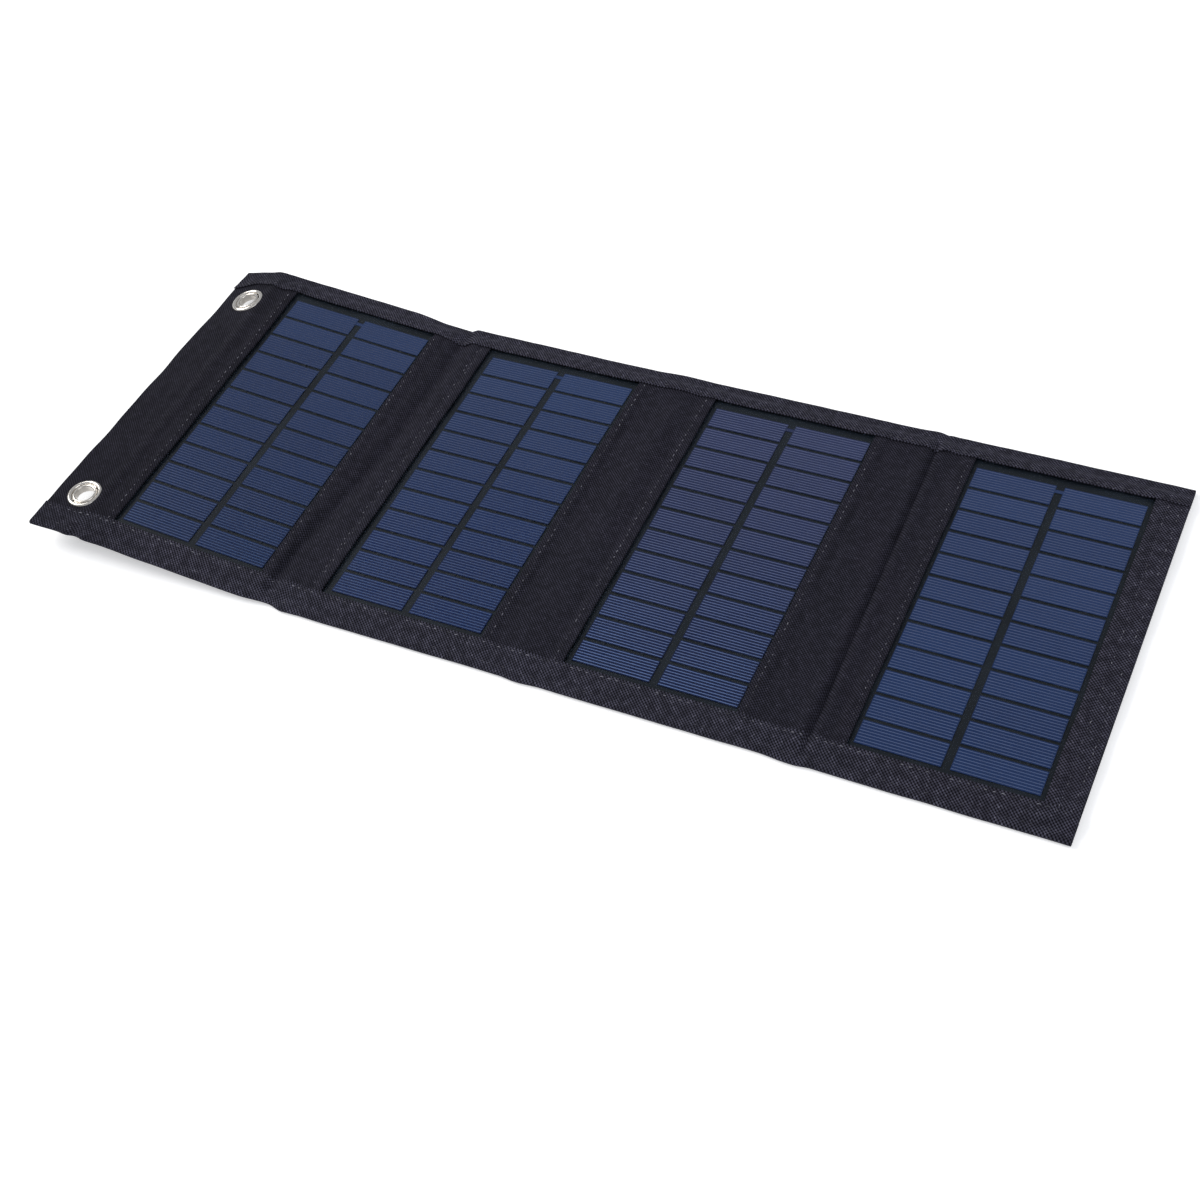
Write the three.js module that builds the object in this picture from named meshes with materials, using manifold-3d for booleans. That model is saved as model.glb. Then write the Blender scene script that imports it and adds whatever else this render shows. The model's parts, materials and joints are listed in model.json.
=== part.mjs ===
// A folding solar charging mat, laid open on a flat surface. Four solar panels are sewn between a back
// cloth and face strips, a hem wraps both long edges, and one end carries a flap with two eyelets. A slim
// USB controller in a cloth sleeve under the first panel props that end of the mat up.
//
// Millimetres, +Z up. X runs along the mat from the flap to the plain end and Y across it. The origin is
// the bottom centre of the laid-out mat. Sections and panels are numbered from the flap end. All pieces
// are first laid out on one flat sheet, whose x is 0 at the first cell of panel 1 and whose z is 0 at the
// back of the hems. Each section is then turned about its crease.
import * as THREE from "three";
import { mergeVertices } from "three/addons/utils/BufferGeometryUtils.js";
import Module from "manifold-3d";

const wasm = await Module();
wasm.setup();

// ---- driving dimensions ----

// cells of one panel
const CELL_COLUMNS = 2;
const CELL_ROWS = 12;
const CELL_LENGTH = 32;
const CELL_WIDTH = 10.5;
const COLUMN_GAP = 3.3;
const GRID_LENGTH = 142;
const RIBBON_WIDTH = 1.6;
const RIBBONS_PER_CELL = 2;
const RIBBON_END_INSET = 1;
const CROSS_RIBBON_INSET = 2;

// layout along the mat
const GRID_LEFT = [0, 99.8, 206.2, 317.9];
const CREASES = [-15, 82, 190, 301.5];
const MAT_RIGHT = 400;
const MAT_WIDTH = 172;
const HINGE_GAP = 0.6;

// window of one panel, past its cells, and the laminate hidden under the cloth round it
const WINDOW_MARGIN_LEFT = 2.3;
const WINDOW_MARGIN_RIGHT = 1.5;
const HEM_WIDTH_NEAR = 12.4;
const HEM_WIDTH_FAR = 11;
const HEM_WIDTH_BACK = 10;
const LAMINATE_TUCK = 3.5;
const STRIP_STEP = 1.2;

// thicknesses
const CLOTH = 0.5;
const LAYER_GAP = 0.1;
const BOARD = 1.2;
const CELL = 0.2;
const FILM = 0.2;
const LEAD = 0.3;

// flat leads between neighbouring panels, under the face strips
const LEAD_WIDTH = 5;
const LEAD_Y = 40;
const LEAD_END_GAP = 0.3;

// flap: its droop and twist are in degrees
const FLAP_WIDTH = 21.2;
const FLAP_DROOP = 11;
const FLAP_TWIST = 14;
const FLAP_LAYER_GAP = 0.2;
const FLAP_AXIS_Z = -4.6;
const FLAP_STEPS = 36;

// eyelets: radii, and heights from the back of the hems
const EYELET_INSET = 21.3;
const EYELET_FROM_CREASE = 7.6;
const EYELET_BORE = 4;
const EYELET_FLANGE = 7.5;
const EYELET_WALL = 0.4;
const EYELET_SEAT_GAP = 0.3;
const EYELET_HOLE_CLEARANCE = 0.3;
const EYELET_SEGMENTS = 32;
const FLANGE_CROWN = 1.15;
const CLINCH_WIDTH = 1.3;
const CLINCH_LOW = -0.9;
const CLINCH_HIGH = -0.1;
const WASHER_THICKNESS = 0.4;
const WASHER_CLEARANCE = 0.2;

// controller, under the first panel
const SLEEVE_LEFT = -14.7;
const SLEEVE_RIGHT = 3.5;
const SLEEVE_HALF_LENGTH = 32;
const SLEEVE_DEPTH = 7.5;
const SLEEVE_FLANGE = 5;
const CASE_WALL = 0.6;
const CASE_CLEARANCE = 0.2;
const PORT_CUT_DEPTH = 2;
const USB_WIDTH = 13.1;
const USB_HEIGHT = 5.7;
const USB_DEPTH = 14;
const USB_SHEET = 0.3;
const USB_TONGUE_LENGTH = 8.3;
const USB_TONGUE_THICKNESS = 1.8;
const USB_TONGUE_INSET = 1;

// controller's circuit board and the pieces on it, placed from the case's middle line
const PCB_THICKNESS = 1;
const PCB_ABOVE_SOCKET_FLOOR = 1.9;
const PCB_BEHIND_SOCKET = 0.4;
const INDUCTOR = { x: -2.5, y: -9, radius: 3.2, height: 2.3 };
const OUTPUT_CAPACITOR = { x: 4, y: -9, radius: 2, height: 2.4 };
const REGULATOR_CHIP = { x: 0, y: 2, width: 5, length: 4, height: 1.4 };
const BLOCKING_DIODE = { x: 0, y: 12, width: 4.4, length: 2.6, height: 1.2 };
const STATUS_LED = { x: -5, y: -15, width: 2, length: 1.2, height: 0.8 };

// slot in the back cloth and the case lid for the wires from panel 1 to the controller
const OUTLET = { left: -2, right: 2, near: 19.5, far: 24.5 };
const WIRES_INSET = 0.5;

// how far the controller tips section 1 up, and the folding axes' heights
const SECTION_1_TILT = 5.45;
const FACE_CLEARANCE = 0.2;
const BACK_CLEARANCE = 1.9;

// ---- derived heights and lines ----

const HALF_WIDTH = MAT_WIDTH / 2;
const HALF_GRID = GRID_LENGTH / 2;
const ROW_PITCH = (GRID_LENGTH - CELL_WIDTH) / (CELL_ROWS - 1);
const GRID_WIDTH = CELL_COLUMNS * CELL_LENGTH + (CELL_COLUMNS - 1) * COLUMN_GAP;

const BACK_CLOTH_Z = CLOTH + LAYER_GAP;
const BOARD_Z = BACK_CLOTH_Z + CLOTH + LAYER_GAP;
const LEAD_Z = BOARD_Z;
const STRIP_LOW_Z = LEAD_Z + LEAD + LAYER_GAP;
const CELL_Z = BOARD_Z + BOARD + LAYER_GAP;
const FILM_Z = CELL_Z + CELL + LAYER_GAP;
const STRIP_HIGH_Z = FILM_Z + FILM + LAYER_GAP;
const HEM_FACE_Z = STRIP_HIGH_Z + CLOTH + LAYER_GAP;
const SECTION_HEIGHT = HEM_FACE_Z + CLOTH;
const FLAP_BACK_Z = CLOTH + FLAP_LAYER_GAP;
const FLAP_FACE_Z = FLAP_BACK_Z + CLOTH + FLAP_LAYER_GAP;
const FLAP_HEM_Z = FLAP_FACE_Z + CLOTH + FLAP_LAYER_GAP;
const FLAP_CREASE_Z = FLAP_FACE_Z - FLAP_LAYER_GAP / 2;

const VALLEY_AXIS_Z = SECTION_HEIGHT + FACE_CLEARANCE;
const RIDGE_AXIS_Z = -(SLEEVE_DEPTH + BACK_CLEARANCE) / 2;
const INNER_HALF_WIDTH = HALF_WIDTH - CLOTH - LAYER_GAP;

// case limits: the sleeve's inside, less the layer gap
const CASE = {
  left: SLEEVE_LEFT + CLOTH + LAYER_GAP,
  right: SLEEVE_RIGHT - CLOTH - LAYER_GAP,
  near: -SLEEVE_HALF_LENGTH,
  far: SLEEVE_HALF_LENGTH - CLOTH - LAYER_GAP,
  low: -SLEEVE_DEPTH + CLOTH + LAYER_GAP,
  high: BACK_CLOTH_Z - LAYER_GAP,
};
const CASE_MIDDLE_X = (CASE.left + CASE.right) / 2;
const LID_LOW = CASE.high - CASE_WALL;
const USB_LOW = CASE.low + CASE_WALL + CASE_CLEARANCE;
const USB_MIDDLE_Z = USB_LOW + USB_HEIGHT / 2;
const PCB_LOW = USB_LOW + PCB_ABOVE_SOCKET_FLOOR;
const PCB_HIGH = PCB_LOW + PCB_THICKNESS;
const PCB_NEAR = CASE.near + USB_DEPTH + PCB_BEHIND_SOCKET;

// how far a cutting tool runs past what it cuts
const CUT_PAST = 1;

// ---- materials ----

function material(color, roughness, metalness = 0) {
  return new THREE.MeshStandardMaterial({ color, roughness, metalness });
}

const FABRIC = material(0x25242b, 0.9);
const LAMINATE_BOARD = material(0x1c2733, 0.6);
const SILICON = material(0x182a55, 0.35);
const CLEAR_FILM = new THREE.MeshStandardMaterial({
  color: 0x8fa0b8,
  roughness: 0.2,
  transparent: true,
  opacity: 0.35,
});
const NICKEL = material(0xc9c6c0, 0.22, 1);
const TINNED_STEEL = material(0xb9bcc0, 0.3, 1);
const BLACK_PLASTIC = material(0x151517, 0.5);
const WHITE_PLASTIC = material(0xdededa, 0.5);
const GREEN_BOARD = material(0x14502e, 0.5);
const FERRITE = material(0x2c2c2e, 0.7);
const ALUMINIUM_CAN = material(0xb4b4b8, 0.35, 1);
const RED_LENS = material(0xb02020, 0.25);
const LEAD_JACKET = material(0x1a1a1c, 0.6);

// ---- small geometry tools ----

function block(xLow, xHigh, yLow, yHigh, zLow, zHigh) {
  const geometry = new THREE.BoxGeometry(xHigh - xLow, yHigh - yLow, zHigh - zLow);
  return geometry.translate((xLow + xHigh) / 2, (yLow + yHigh) / 2, (zLow + zHigh) / 2);
}

function shapeOf(points) {
  return new THREE.Shape(points.map(([a, b]) => new THREE.Vector2(a, b)));
}

// an outline of [x, z] points, run along Y
function extrudeAlongY(points, yLow, yHigh) {
  const settings = { depth: yHigh - yLow, bevelEnabled: false };
  const geometry = new THREE.ExtrudeGeometry(shapeOf(points), settings);
  return geometry.rotateX(Math.PI / 2).translate(0, yHigh, 0);
}

// an outline of [y, z] points, run along X
function extrudeAlongX(points, xLow, xHigh) {
  const settings = { depth: xHigh - xLow, bevelEnabled: false };
  const geometry = new THREE.ExtrudeGeometry(shapeOf(points), settings);
  const turn = new THREE.Matrix4().makeBasis(
    new THREE.Vector3(0, 1, 0),
    new THREE.Vector3(0, 0, 1),
    new THREE.Vector3(1, 0, 0),
  );
  return geometry.applyMatrix4(turn).translate(xLow, 0, 0);
}

// a profile of [radius, z] points that closes on itself, turned about Z
function ring(profile, segments) {
  const points = [...profile, profile[0]].map(([r, z]) => new THREE.Vector2(r, z));
  return new THREE.LatheGeometry(points, segments).rotateX(Math.PI / 2);
}

function uprightCylinder(radius, zLow, zHigh, segments = 24) {
  const geometry = new THREE.CylinderGeometry(radius, radius, zHigh - zLow, segments);
  return geometry.rotateX(Math.PI / 2).translate(0, 0, (zLow + zHigh) / 2);
}

function toSolid(geometry) {
  const bare = geometry.clone();
  bare.deleteAttribute("normal");
  bare.deleteAttribute("uv");
  const merged = mergeVertices(bare, 1e-4);
  const mesh = new wasm.Mesh({
    numProp: 3,
    vertProperties: new Float32Array(merged.attributes.position.array),
    triVerts: new Uint32Array(merged.index.array),
  });
  return new wasm.Manifold(mesh);
}

function toGeometry(solid) {
  const mesh = solid.getMesh();
  const geometry = new THREE.BufferGeometry();
  geometry.setAttribute("position", new THREE.BufferAttribute(mesh.vertProperties, 3));
  geometry.setIndex(new THREE.BufferAttribute(mesh.triVerts, 1));
  geometry.computeVertexNormals();
  return geometry;
}

function cut(geometry, tools) {
  const solids = tools.map(toSolid);
  return toGeometry(solids.reduce((whole, tool) => whole.subtract(tool), toSolid(geometry)));
}

function join(geometries) {
  const [first, ...others] = geometries.map(toSolid);
  return toGeometry(others.reduce((whole, piece) => whole.add(piece), first));
}

function addPiece(parent, name, geometry, look) {
  const mesh = new THREE.Mesh(geometry, look);
  mesh.name = name;
  parent.add(mesh);
}

// A group turned about an axis along Y. What is added to the result keeps flat-sheet coordinates.
function turnedAbout(parent, axisX, axisZ, degrees) {
  const leaf = new THREE.Group();
  leaf.position.set(axisX, 0, axisZ);
  leaf.rotation.y = THREE.MathUtils.degToRad(degrees);
  const sheet = new THREE.Group();
  sheet.position.set(-axisX, 0, -axisZ);
  leaf.add(sheet);
  parent.add(leaf);
  return sheet;
}

// ---- one section: cloths, hems and panel ----

// A hem is a folded strip: a face leg, an outer wall and a back leg. Side is -1 near, +1 far.
function hemProfile(side, faceWidth, faceZ) {
  const edge = side * HALF_WIDTH;
  const inner = edge - side * CLOTH;
  const backEnd = edge - side * HEM_WIDTH_BACK;
  const faceEnd = edge - side * faceWidth;
  const outline = [
    [edge, 0],
    [backEnd, 0],
    [backEnd, CLOTH],
    [inner, CLOTH],
    [inner, faceZ],
    [faceEnd, faceZ],
    [faceEnd, faceZ + CLOTH],
    [edge, faceZ + CLOTH],
  ];
  return side < 0 ? outline : outline.reverse();
}

// The strip steps down from the laminate's face to the back cloth. Side -1 is left of the window.
function faceStrip(windowEdge, outerEdge, side) {
  const step = windowEdge + side * (LAMINATE_TUCK + STRIP_STEP);
  const outline = [
    [windowEdge, STRIP_HIGH_Z],
    [step, STRIP_HIGH_Z],
    [step, STRIP_LOW_Z],
    [outerEdge, STRIP_LOW_Z],
    [outerEdge, STRIP_LOW_Z + CLOTH],
    [step + side * CLOTH, STRIP_LOW_Z + CLOTH],
    [step + side * CLOTH, STRIP_HIGH_Z + CLOTH],
    [windowEdge, STRIP_HIGH_Z + CLOTH],
  ];
  return extrudeAlongY(side > 0 ? outline : outline.reverse(), -INNER_HALF_WIDTH, INNER_HALF_WIDTH);
}

function ribbonBlock(xLow, xHigh, yLow, yHigh) {
  return block(xLow, xHigh, yLow, yHigh, CELL_Z - LAYER_GAP / 2, CELL_Z + CELL / 2);
}

// All cells of a panel, soldered into one string by ribbons under them.
function cellString(gridLeft) {
  const pieces = [];
  for (let column = 0; column < CELL_COLUMNS; column += 1) {
    const left = gridLeft + column * (CELL_LENGTH + COLUMN_GAP);
    for (let row = 0; row < CELL_ROWS; row += 1) {
      const near = -HALF_GRID + row * ROW_PITCH;
      pieces.push(block(left, left + CELL_LENGTH, near, near + CELL_WIDTH, CELL_Z, CELL_Z + CELL));
    }
    for (let ribbon = 0; ribbon < RIBBONS_PER_CELL; ribbon += 1) {
      const middle = left + (CELL_LENGTH * (ribbon + 0.5)) / RIBBONS_PER_CELL;
      const reach = HALF_GRID - RIBBON_END_INSET;
      pieces.push(ribbonBlock(middle - RIBBON_WIDTH / 2, middle + RIBBON_WIDTH / 2, -reach, reach));
    }
  }
  const crossLow = gridLeft + CELL_LENGTH / 2;
  const crossHigh = gridLeft + GRID_WIDTH - CELL_LENGTH / 2;
  const crossFar = HALF_GRID - CROSS_RIBBON_INSET;
  pieces.push(ribbonBlock(crossLow, crossHigh, crossFar - RIBBON_WIDTH, crossFar));
  return join(pieces);
}

function outletTool(zLow, zHigh) {
  return block(OUTLET.left, OUTLET.right, OUTLET.near, OUTLET.far, zLow, zHigh);
}

function sectionBackCloth(number, left, right) {
  const high = BACK_CLOTH_Z + CLOTH;
  const cloth = block(left, right, -INNER_HALF_WIDTH, INNER_HALF_WIDTH, BACK_CLOTH_Z, high);
  return number === 1 ? cut(cloth, [outletTool(BACK_CLOTH_Z - CUT_PAST, high + CUT_PAST)]) : cloth;
}

function addSection(sheet, number) {
  const gridLeft = GRID_LEFT[number - 1];
  const left = CREASES[number - 1] + HINGE_GAP / 2;
  const right = number < CREASES.length ? CREASES[number] - HINGE_GAP / 2 : MAT_RIGHT;
  const windowLeft = gridLeft - WINDOW_MARGIN_LEFT;
  const windowRight = gridLeft + GRID_WIDTH + WINDOW_MARGIN_RIGHT;
  const laminate = [
    windowLeft - LAMINATE_TUCK,
    windowRight + LAMINATE_TUCK,
    -HALF_WIDTH + HEM_WIDTH_NEAR - LAMINATE_TUCK,
    HALF_WIDTH - HEM_WIDTH_FAR + LAMINATE_TUCK,
  ];
  const nearHem = hemProfile(-1, HEM_WIDTH_NEAR, HEM_FACE_Z);
  const farHem = hemProfile(1, HEM_WIDTH_FAR, HEM_FACE_Z);
  const name = `section_${number}`;
  addPiece(sheet, `${name}_back_cloth`, sectionBackCloth(number, left, right), FABRIC);
  addPiece(sheet, `${name}_left_strip`, faceStrip(windowLeft, left, -1), FABRIC);
  addPiece(sheet, `${name}_right_strip`, faceStrip(windowRight, right, 1), FABRIC);
  addPiece(sheet, `${name}_near_hem`, extrudeAlongX(nearHem, left, right), FABRIC);
  addPiece(sheet, `${name}_far_hem`, extrudeAlongX(farHem, left, right), FABRIC);
  addPiece(sheet, `panel_${number}_board`, block(...laminate, BOARD_Z, BOARD_Z + BOARD), LAMINATE_BOARD);
  addPiece(sheet, `panel_${number}_cells`, cellString(gridLeft), SILICON);
  addPiece(sheet, `panel_${number}_film`, block(...laminate, FILM_Z, FILM_Z + FILM), CLEAR_FILM);
}

// ---- flat leads between neighbouring panels ----

// A point of section 1's sheet, seen from section 2's sheet.
function raisedWithSection1([x, z]) {
  const tilt = THREE.MathUtils.degToRad(SECTION_1_TILT);
  const dx = x - CREASES[1];
  const dz = z - VALLEY_AXIS_Z;
  return [
    CREASES[1] + dx * Math.cos(tilt) + dz * Math.sin(tilt),
    VALLEY_AXIS_Z - dx * Math.sin(tilt) + dz * Math.cos(tilt),
  ];
}

// The lead that crosses the crease left of a section, laid in that section's sheet.
function panelLead(number) {
  const crease = CREASES[number - 1];
  const boardLeft = GRID_LEFT[number - 1] - WINDOW_MARGIN_LEFT - LAMINATE_TUCK;
  const boardRight = GRID_LEFT[number - 2] + GRID_WIDTH + WINDOW_MARGIN_RIGHT + LAMINATE_TUCK;
  const place = number === 2 ? raisedWithSection1 : (point) => point;
  const top = LEAD_Z + LEAD;
  const outline = [
    place([boardRight + LEAD_END_GAP, LEAD_Z]),
    place([crease - LEAD, LEAD_Z]),
    [crease + LEAD, LEAD_Z],
    [boardLeft - LEAD_END_GAP, LEAD_Z],
    [boardLeft - LEAD_END_GAP, top],
    [crease + LEAD, top],
    place([crease - LEAD, top]),
    place([boardRight + LEAD_END_GAP, top]),
  ];
  return extrudeAlongY(outline, LEAD_Y - LEAD_WIDTH / 2, LEAD_Y + LEAD_WIDTH / 2);
}

// ---- flap ----

// The flap twists evenly along Y about its crease, so its far end droops more than its near end.
function twistAt(y) {
  return THREE.MathUtils.degToRad((FLAP_TWIST * y) / MAT_WIDTH);
}

function twistFlap(geometry) {
  const position = geometry.attributes.position;
  for (let i = 0; i < position.count; i += 1) {
    const angle = twistAt(position.getY(i));
    const dx = position.getX(i) - CREASES[0];
    const dz = position.getZ(i) - FLAP_CREASE_Z;
    position.setX(i, CREASES[0] + dx * Math.cos(angle) - dz * Math.sin(angle));
    position.setZ(i, FLAP_CREASE_Z + dx * Math.sin(angle) + dz * Math.cos(angle));
  }
  return geometry;
}

// Puts a piece made about the Z axis at an eyelet's place, square to the twisted flap.
function atEyelet(geometry, side) {
  const y = side * (HALF_WIDTH - EYELET_INSET);
  geometry.translate(-EYELET_FROM_CREASE, 0, -FLAP_CREASE_Z).rotateY(-twistAt(y));
  return geometry.translate(CREASES[0], y, FLAP_CREASE_Z);
}

function flapCloth(zLow) {
  const xHigh = CREASES[0] - HINGE_GAP / 2;
  const xLow = CREASES[0] - FLAP_WIDTH;
  const length = 2 * INNER_HALF_WIDTH;
  const sheet = new THREE.BoxGeometry(xHigh - xLow, length, CLOTH, 1, FLAP_STEPS, 1);
  twistFlap(sheet.translate((xLow + xHigh) / 2, 0, zLow + CLOTH / 2));
  const radius = EYELET_BORE + EYELET_WALL + EYELET_HOLE_CLEARANCE;
  const holeLow = zLow - CUT_PAST;
  const holeHigh = zLow + CLOTH + CUT_PAST;
  const holes = [-1, 1].map((side) => atEyelet(uprightCylinder(radius, holeLow, holeHigh), side));
  return cut(sheet, holes);
}

function flapHem(side) {
  const xHigh = CREASES[0] - HINGE_GAP / 2;
  const xLow = CREASES[0] - FLAP_WIDTH;
  return twistFlap(extrudeAlongX(hemProfile(side, HEM_WIDTH_FAR, FLAP_HEM_Z), xLow, xHigh));
}

// A rolled eyelet: crowned flange on the face, barrel through both cloths, clinched rim on the back.
function eyeletGeometry() {
  const face = FLAP_FACE_Z + CLOTH + EYELET_SEAT_GAP;
  const crown = face + FLANGE_CROWN;
  const outer = EYELET_BORE + EYELET_WALL;
  const clinchBevel = 0.4;
  const profile = [
    [EYELET_BORE, CLINCH_LOW],
    [outer + CLINCH_WIDTH - clinchBevel, CLINCH_LOW],
    [outer + CLINCH_WIDTH, (CLINCH_LOW + CLINCH_HIGH) / 2],
    [outer + CLINCH_WIDTH - clinchBevel, CLINCH_HIGH],
    [outer, CLINCH_HIGH],
    [outer, face],
    [EYELET_FLANGE - 0.2, face],
    [EYELET_FLANGE, face + 0.2],
    [EYELET_FLANGE - 0.6, face + 0.8],
    [EYELET_FLANGE - 1.6, crown],
    [EYELET_BORE + 1.0, crown],
    [EYELET_BORE + 0.2, face + 0.7],
    [EYELET_BORE, face + 0.1],
  ];
  return ring(profile, EYELET_SEGMENTS);
}

// the eyelet's washer, a flat ring against the back cloth
function washerGeometry() {
  const inner = EYELET_BORE + EYELET_WALL + WASHER_CLEARANCE;
  const high = FLAP_BACK_Z - EYELET_SEAT_GAP;
  const low = high - WASHER_THICKNESS;
  const profile = [
    [inner, low],
    [EYELET_FLANGE - 0.3, low],
    [EYELET_FLANGE, low + 0.2],
    [EYELET_FLANGE, high],
    [inner, high],
  ];
  return ring(profile, EYELET_SEGMENTS);
}

function addFlap(sheet) {
  addPiece(sheet, "flap_back_cloth", flapCloth(FLAP_BACK_Z), FABRIC);
  addPiece(sheet, "flap_face_cloth", flapCloth(FLAP_FACE_Z), FABRIC);
  for (const [word, side] of [["near", -1], ["far", 1]]) {
    addPiece(sheet, `flap_${word}_hem`, flapHem(side), FABRIC);
    addPiece(sheet, `eyelet_${word}`, atEyelet(eyeletGeometry(), side), NICKEL);
    addPiece(sheet, `eyelet_washer_${word}`, atEyelet(washerGeometry(), side), NICKEL);
  }
}

// ---- USB controller in its sleeve, on the back of section 1 ----

function sleeveGeometry() {
  const top = BACK_CLOTH_Z - LAYER_GAP;
  const left = SLEEVE_LEFT + CLOTH;
  const right = SLEEVE_RIGHT - CLOTH;
  const outline = [
    [SLEEVE_LEFT, -SLEEVE_DEPTH],
    [SLEEVE_RIGHT, -SLEEVE_DEPTH],
    [SLEEVE_RIGHT, top - CLOTH],
    [SLEEVE_RIGHT + SLEEVE_FLANGE, top - CLOTH],
    [SLEEVE_RIGHT + SLEEVE_FLANGE, top],
    [right, top],
    [right, -SLEEVE_DEPTH + CLOTH],
    [left, -SLEEVE_DEPTH + CLOTH],
    [left, top],
    [SLEEVE_LEFT, top],
  ];
  const channel = extrudeAlongY(outline, -SLEEVE_HALF_LENGTH, SLEEVE_HALF_LENGTH);
  const endLow = -SLEEVE_DEPTH + CLOTH / 2;
  const endNear = SLEEVE_HALF_LENGTH - CLOTH;
  const end = block(left - CLOTH / 2, right + CLOTH / 2, endNear, SLEEVE_HALF_LENGTH, endLow, top);
  return join([channel, end]);
}

function caseBase() {
  const top = LID_LOW - LAYER_GAP;
  const shell = block(CASE.left, CASE.right, CASE.near, CASE.far, CASE.low, top);
  const hollow = block(
    CASE.left + CASE_WALL,
    CASE.right - CASE_WALL,
    CASE.near + CASE_WALL,
    CASE.far - CASE_WALL,
    CASE.low + CASE_WALL,
    top + CUT_PAST,
  );
  const half = USB_WIDTH / 2 + CASE_CLEARANCE;
  const port = block(
    CASE_MIDDLE_X - half,
    CASE_MIDDLE_X + half,
    CASE.near - CUT_PAST,
    CASE.near + PORT_CUT_DEPTH,
    USB_LOW - LAYER_GAP,
    top + CUT_PAST,
  );
  return cut(shell, [hollow, port]);
}

function caseLid() {
  const plate = block(CASE.left, CASE.right, CASE.near, CASE.far, LID_LOW, CASE.high);
  return cut(plate, [outletTool(LID_LOW - CUT_PAST, CASE.high + CUT_PAST)]);
}

// tube of thin sheet, shut at the far end, with its mouth at the case's near wall
function usbShell() {
  const half = USB_WIDTH / 2;
  const mouth = CASE.near;
  const tube = block(
    CASE_MIDDLE_X - half,
    CASE_MIDDLE_X + half,
    mouth,
    mouth + USB_DEPTH,
    USB_LOW,
    USB_LOW + USB_HEIGHT,
  );
  const bore = block(
    CASE_MIDDLE_X - half + USB_SHEET,
    CASE_MIDDLE_X + half - USB_SHEET,
    mouth - CUT_PAST,
    mouth + USB_DEPTH - USB_SHEET,
    USB_LOW + USB_SHEET,
    USB_LOW + USB_HEIGHT - USB_SHEET,
  );
  return cut(tube, [bore]);
}

function usbTongue() {
  const back = CASE.near + USB_DEPTH - USB_SHEET - LAYER_GAP;
  const half = USB_WIDTH / 2 - USB_TONGUE_INSET;
  return block(
    CASE_MIDDLE_X - half,
    CASE_MIDDLE_X + half,
    back - USB_TONGUE_LENGTH,
    back,
    USB_MIDDLE_Z - USB_TONGUE_THICKNESS / 2,
    USB_MIDDLE_Z + USB_TONGUE_THICKNESS / 2,
  );
}

function blockOnBoard({ x, y, width, length, height }) {
  const low = PCB_HIGH + LAYER_GAP;
  const middle = CASE_MIDDLE_X + x;
  return block(middle - width / 2, middle + width / 2, y - length / 2, y + length / 2, low, low + height);
}

function canOnBoard({ x, y, radius, height }) {
  const low = PCB_HIGH + LAYER_GAP;
  return uprightCylinder(radius, low, low + height).translate(CASE_MIDDLE_X + x, y, 0);
}

function circuitBoard() {
  return block(
    CASE.left + CASE_WALL + CASE_CLEARANCE,
    CASE.right - CASE_WALL - CASE_CLEARANCE,
    PCB_NEAR,
    CASE.far - CASE_WALL - CASE_CLEARANCE,
    PCB_LOW,
    PCB_HIGH,
  );
}

// the wires from panel 1, down through the outlet to the circuit board
function inputLead() {
  return block(
    OUTLET.left + WIRES_INSET,
    OUTLET.right - WIRES_INSET,
    OUTLET.near + WIRES_INSET,
    OUTLET.far - WIRES_INSET,
    PCB_HIGH + LAYER_GAP,
    BOARD_Z - LAYER_GAP,
  );
}

function addController(sheet) {
  addPiece(sheet, "controller_sleeve", sleeveGeometry(), FABRIC);
  addPiece(sheet, "controller_case_base", caseBase(), BLACK_PLASTIC);
  addPiece(sheet, "controller_case_lid", caseLid(), BLACK_PLASTIC);
  addPiece(sheet, "controller_circuit_board", circuitBoard(), GREEN_BOARD);
  addPiece(sheet, "usb_socket_shell", usbShell(), TINNED_STEEL);
  addPiece(sheet, "usb_socket_tongue", usbTongue(), WHITE_PLASTIC);
  addPiece(sheet, "inductor", canOnBoard(INDUCTOR), FERRITE);
  addPiece(sheet, "output_capacitor", canOnBoard(OUTPUT_CAPACITOR), ALUMINIUM_CAN);
  addPiece(sheet, "regulator_chip", blockOnBoard(REGULATOR_CHIP), BLACK_PLASTIC);
  addPiece(sheet, "blocking_diode", blockOnBoard(BLOCKING_DIODE), BLACK_PLASTIC);
  addPiece(sheet, "status_led", blockOnBoard(STATUS_LED), RED_LENS);
  addPiece(sheet, "controller_input_lead", inputLead(), LEAD_JACKET);
}

// ---- the whole mat, laid out from its plain end towards the flap ----

const group = new THREE.Group();
const mat = new THREE.Group();
group.add(mat);

addSection(mat, 4);
addPiece(mat, "lead_3_4", panelLead(4), LEAD_JACKET);
addSection(mat, 3);
addPiece(mat, "lead_2_3", panelLead(3), LEAD_JACKET);
addSection(mat, 2);
addPiece(mat, "lead_1_2", panelLead(2), LEAD_JACKET);

const section1 = turnedAbout(mat, CREASES[1], VALLEY_AXIS_Z, SECTION_1_TILT);
addSection(section1, 1);
addController(section1);
addFlap(turnedAbout(section1, CREASES[0], FLAP_AXIS_Z, -FLAP_DROOP));

const bounds = new THREE.Box3().setFromObject(group, true);
mat.position.set(-(bounds.min.x + bounds.max.x) / 2, -(bounds.min.y + bounds.max.y) / 2, -bounds.min.z);

export default group;
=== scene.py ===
import json
import math

import bmesh
import bpy
import numpy as np
from mathutils import Matrix, Vector


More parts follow.
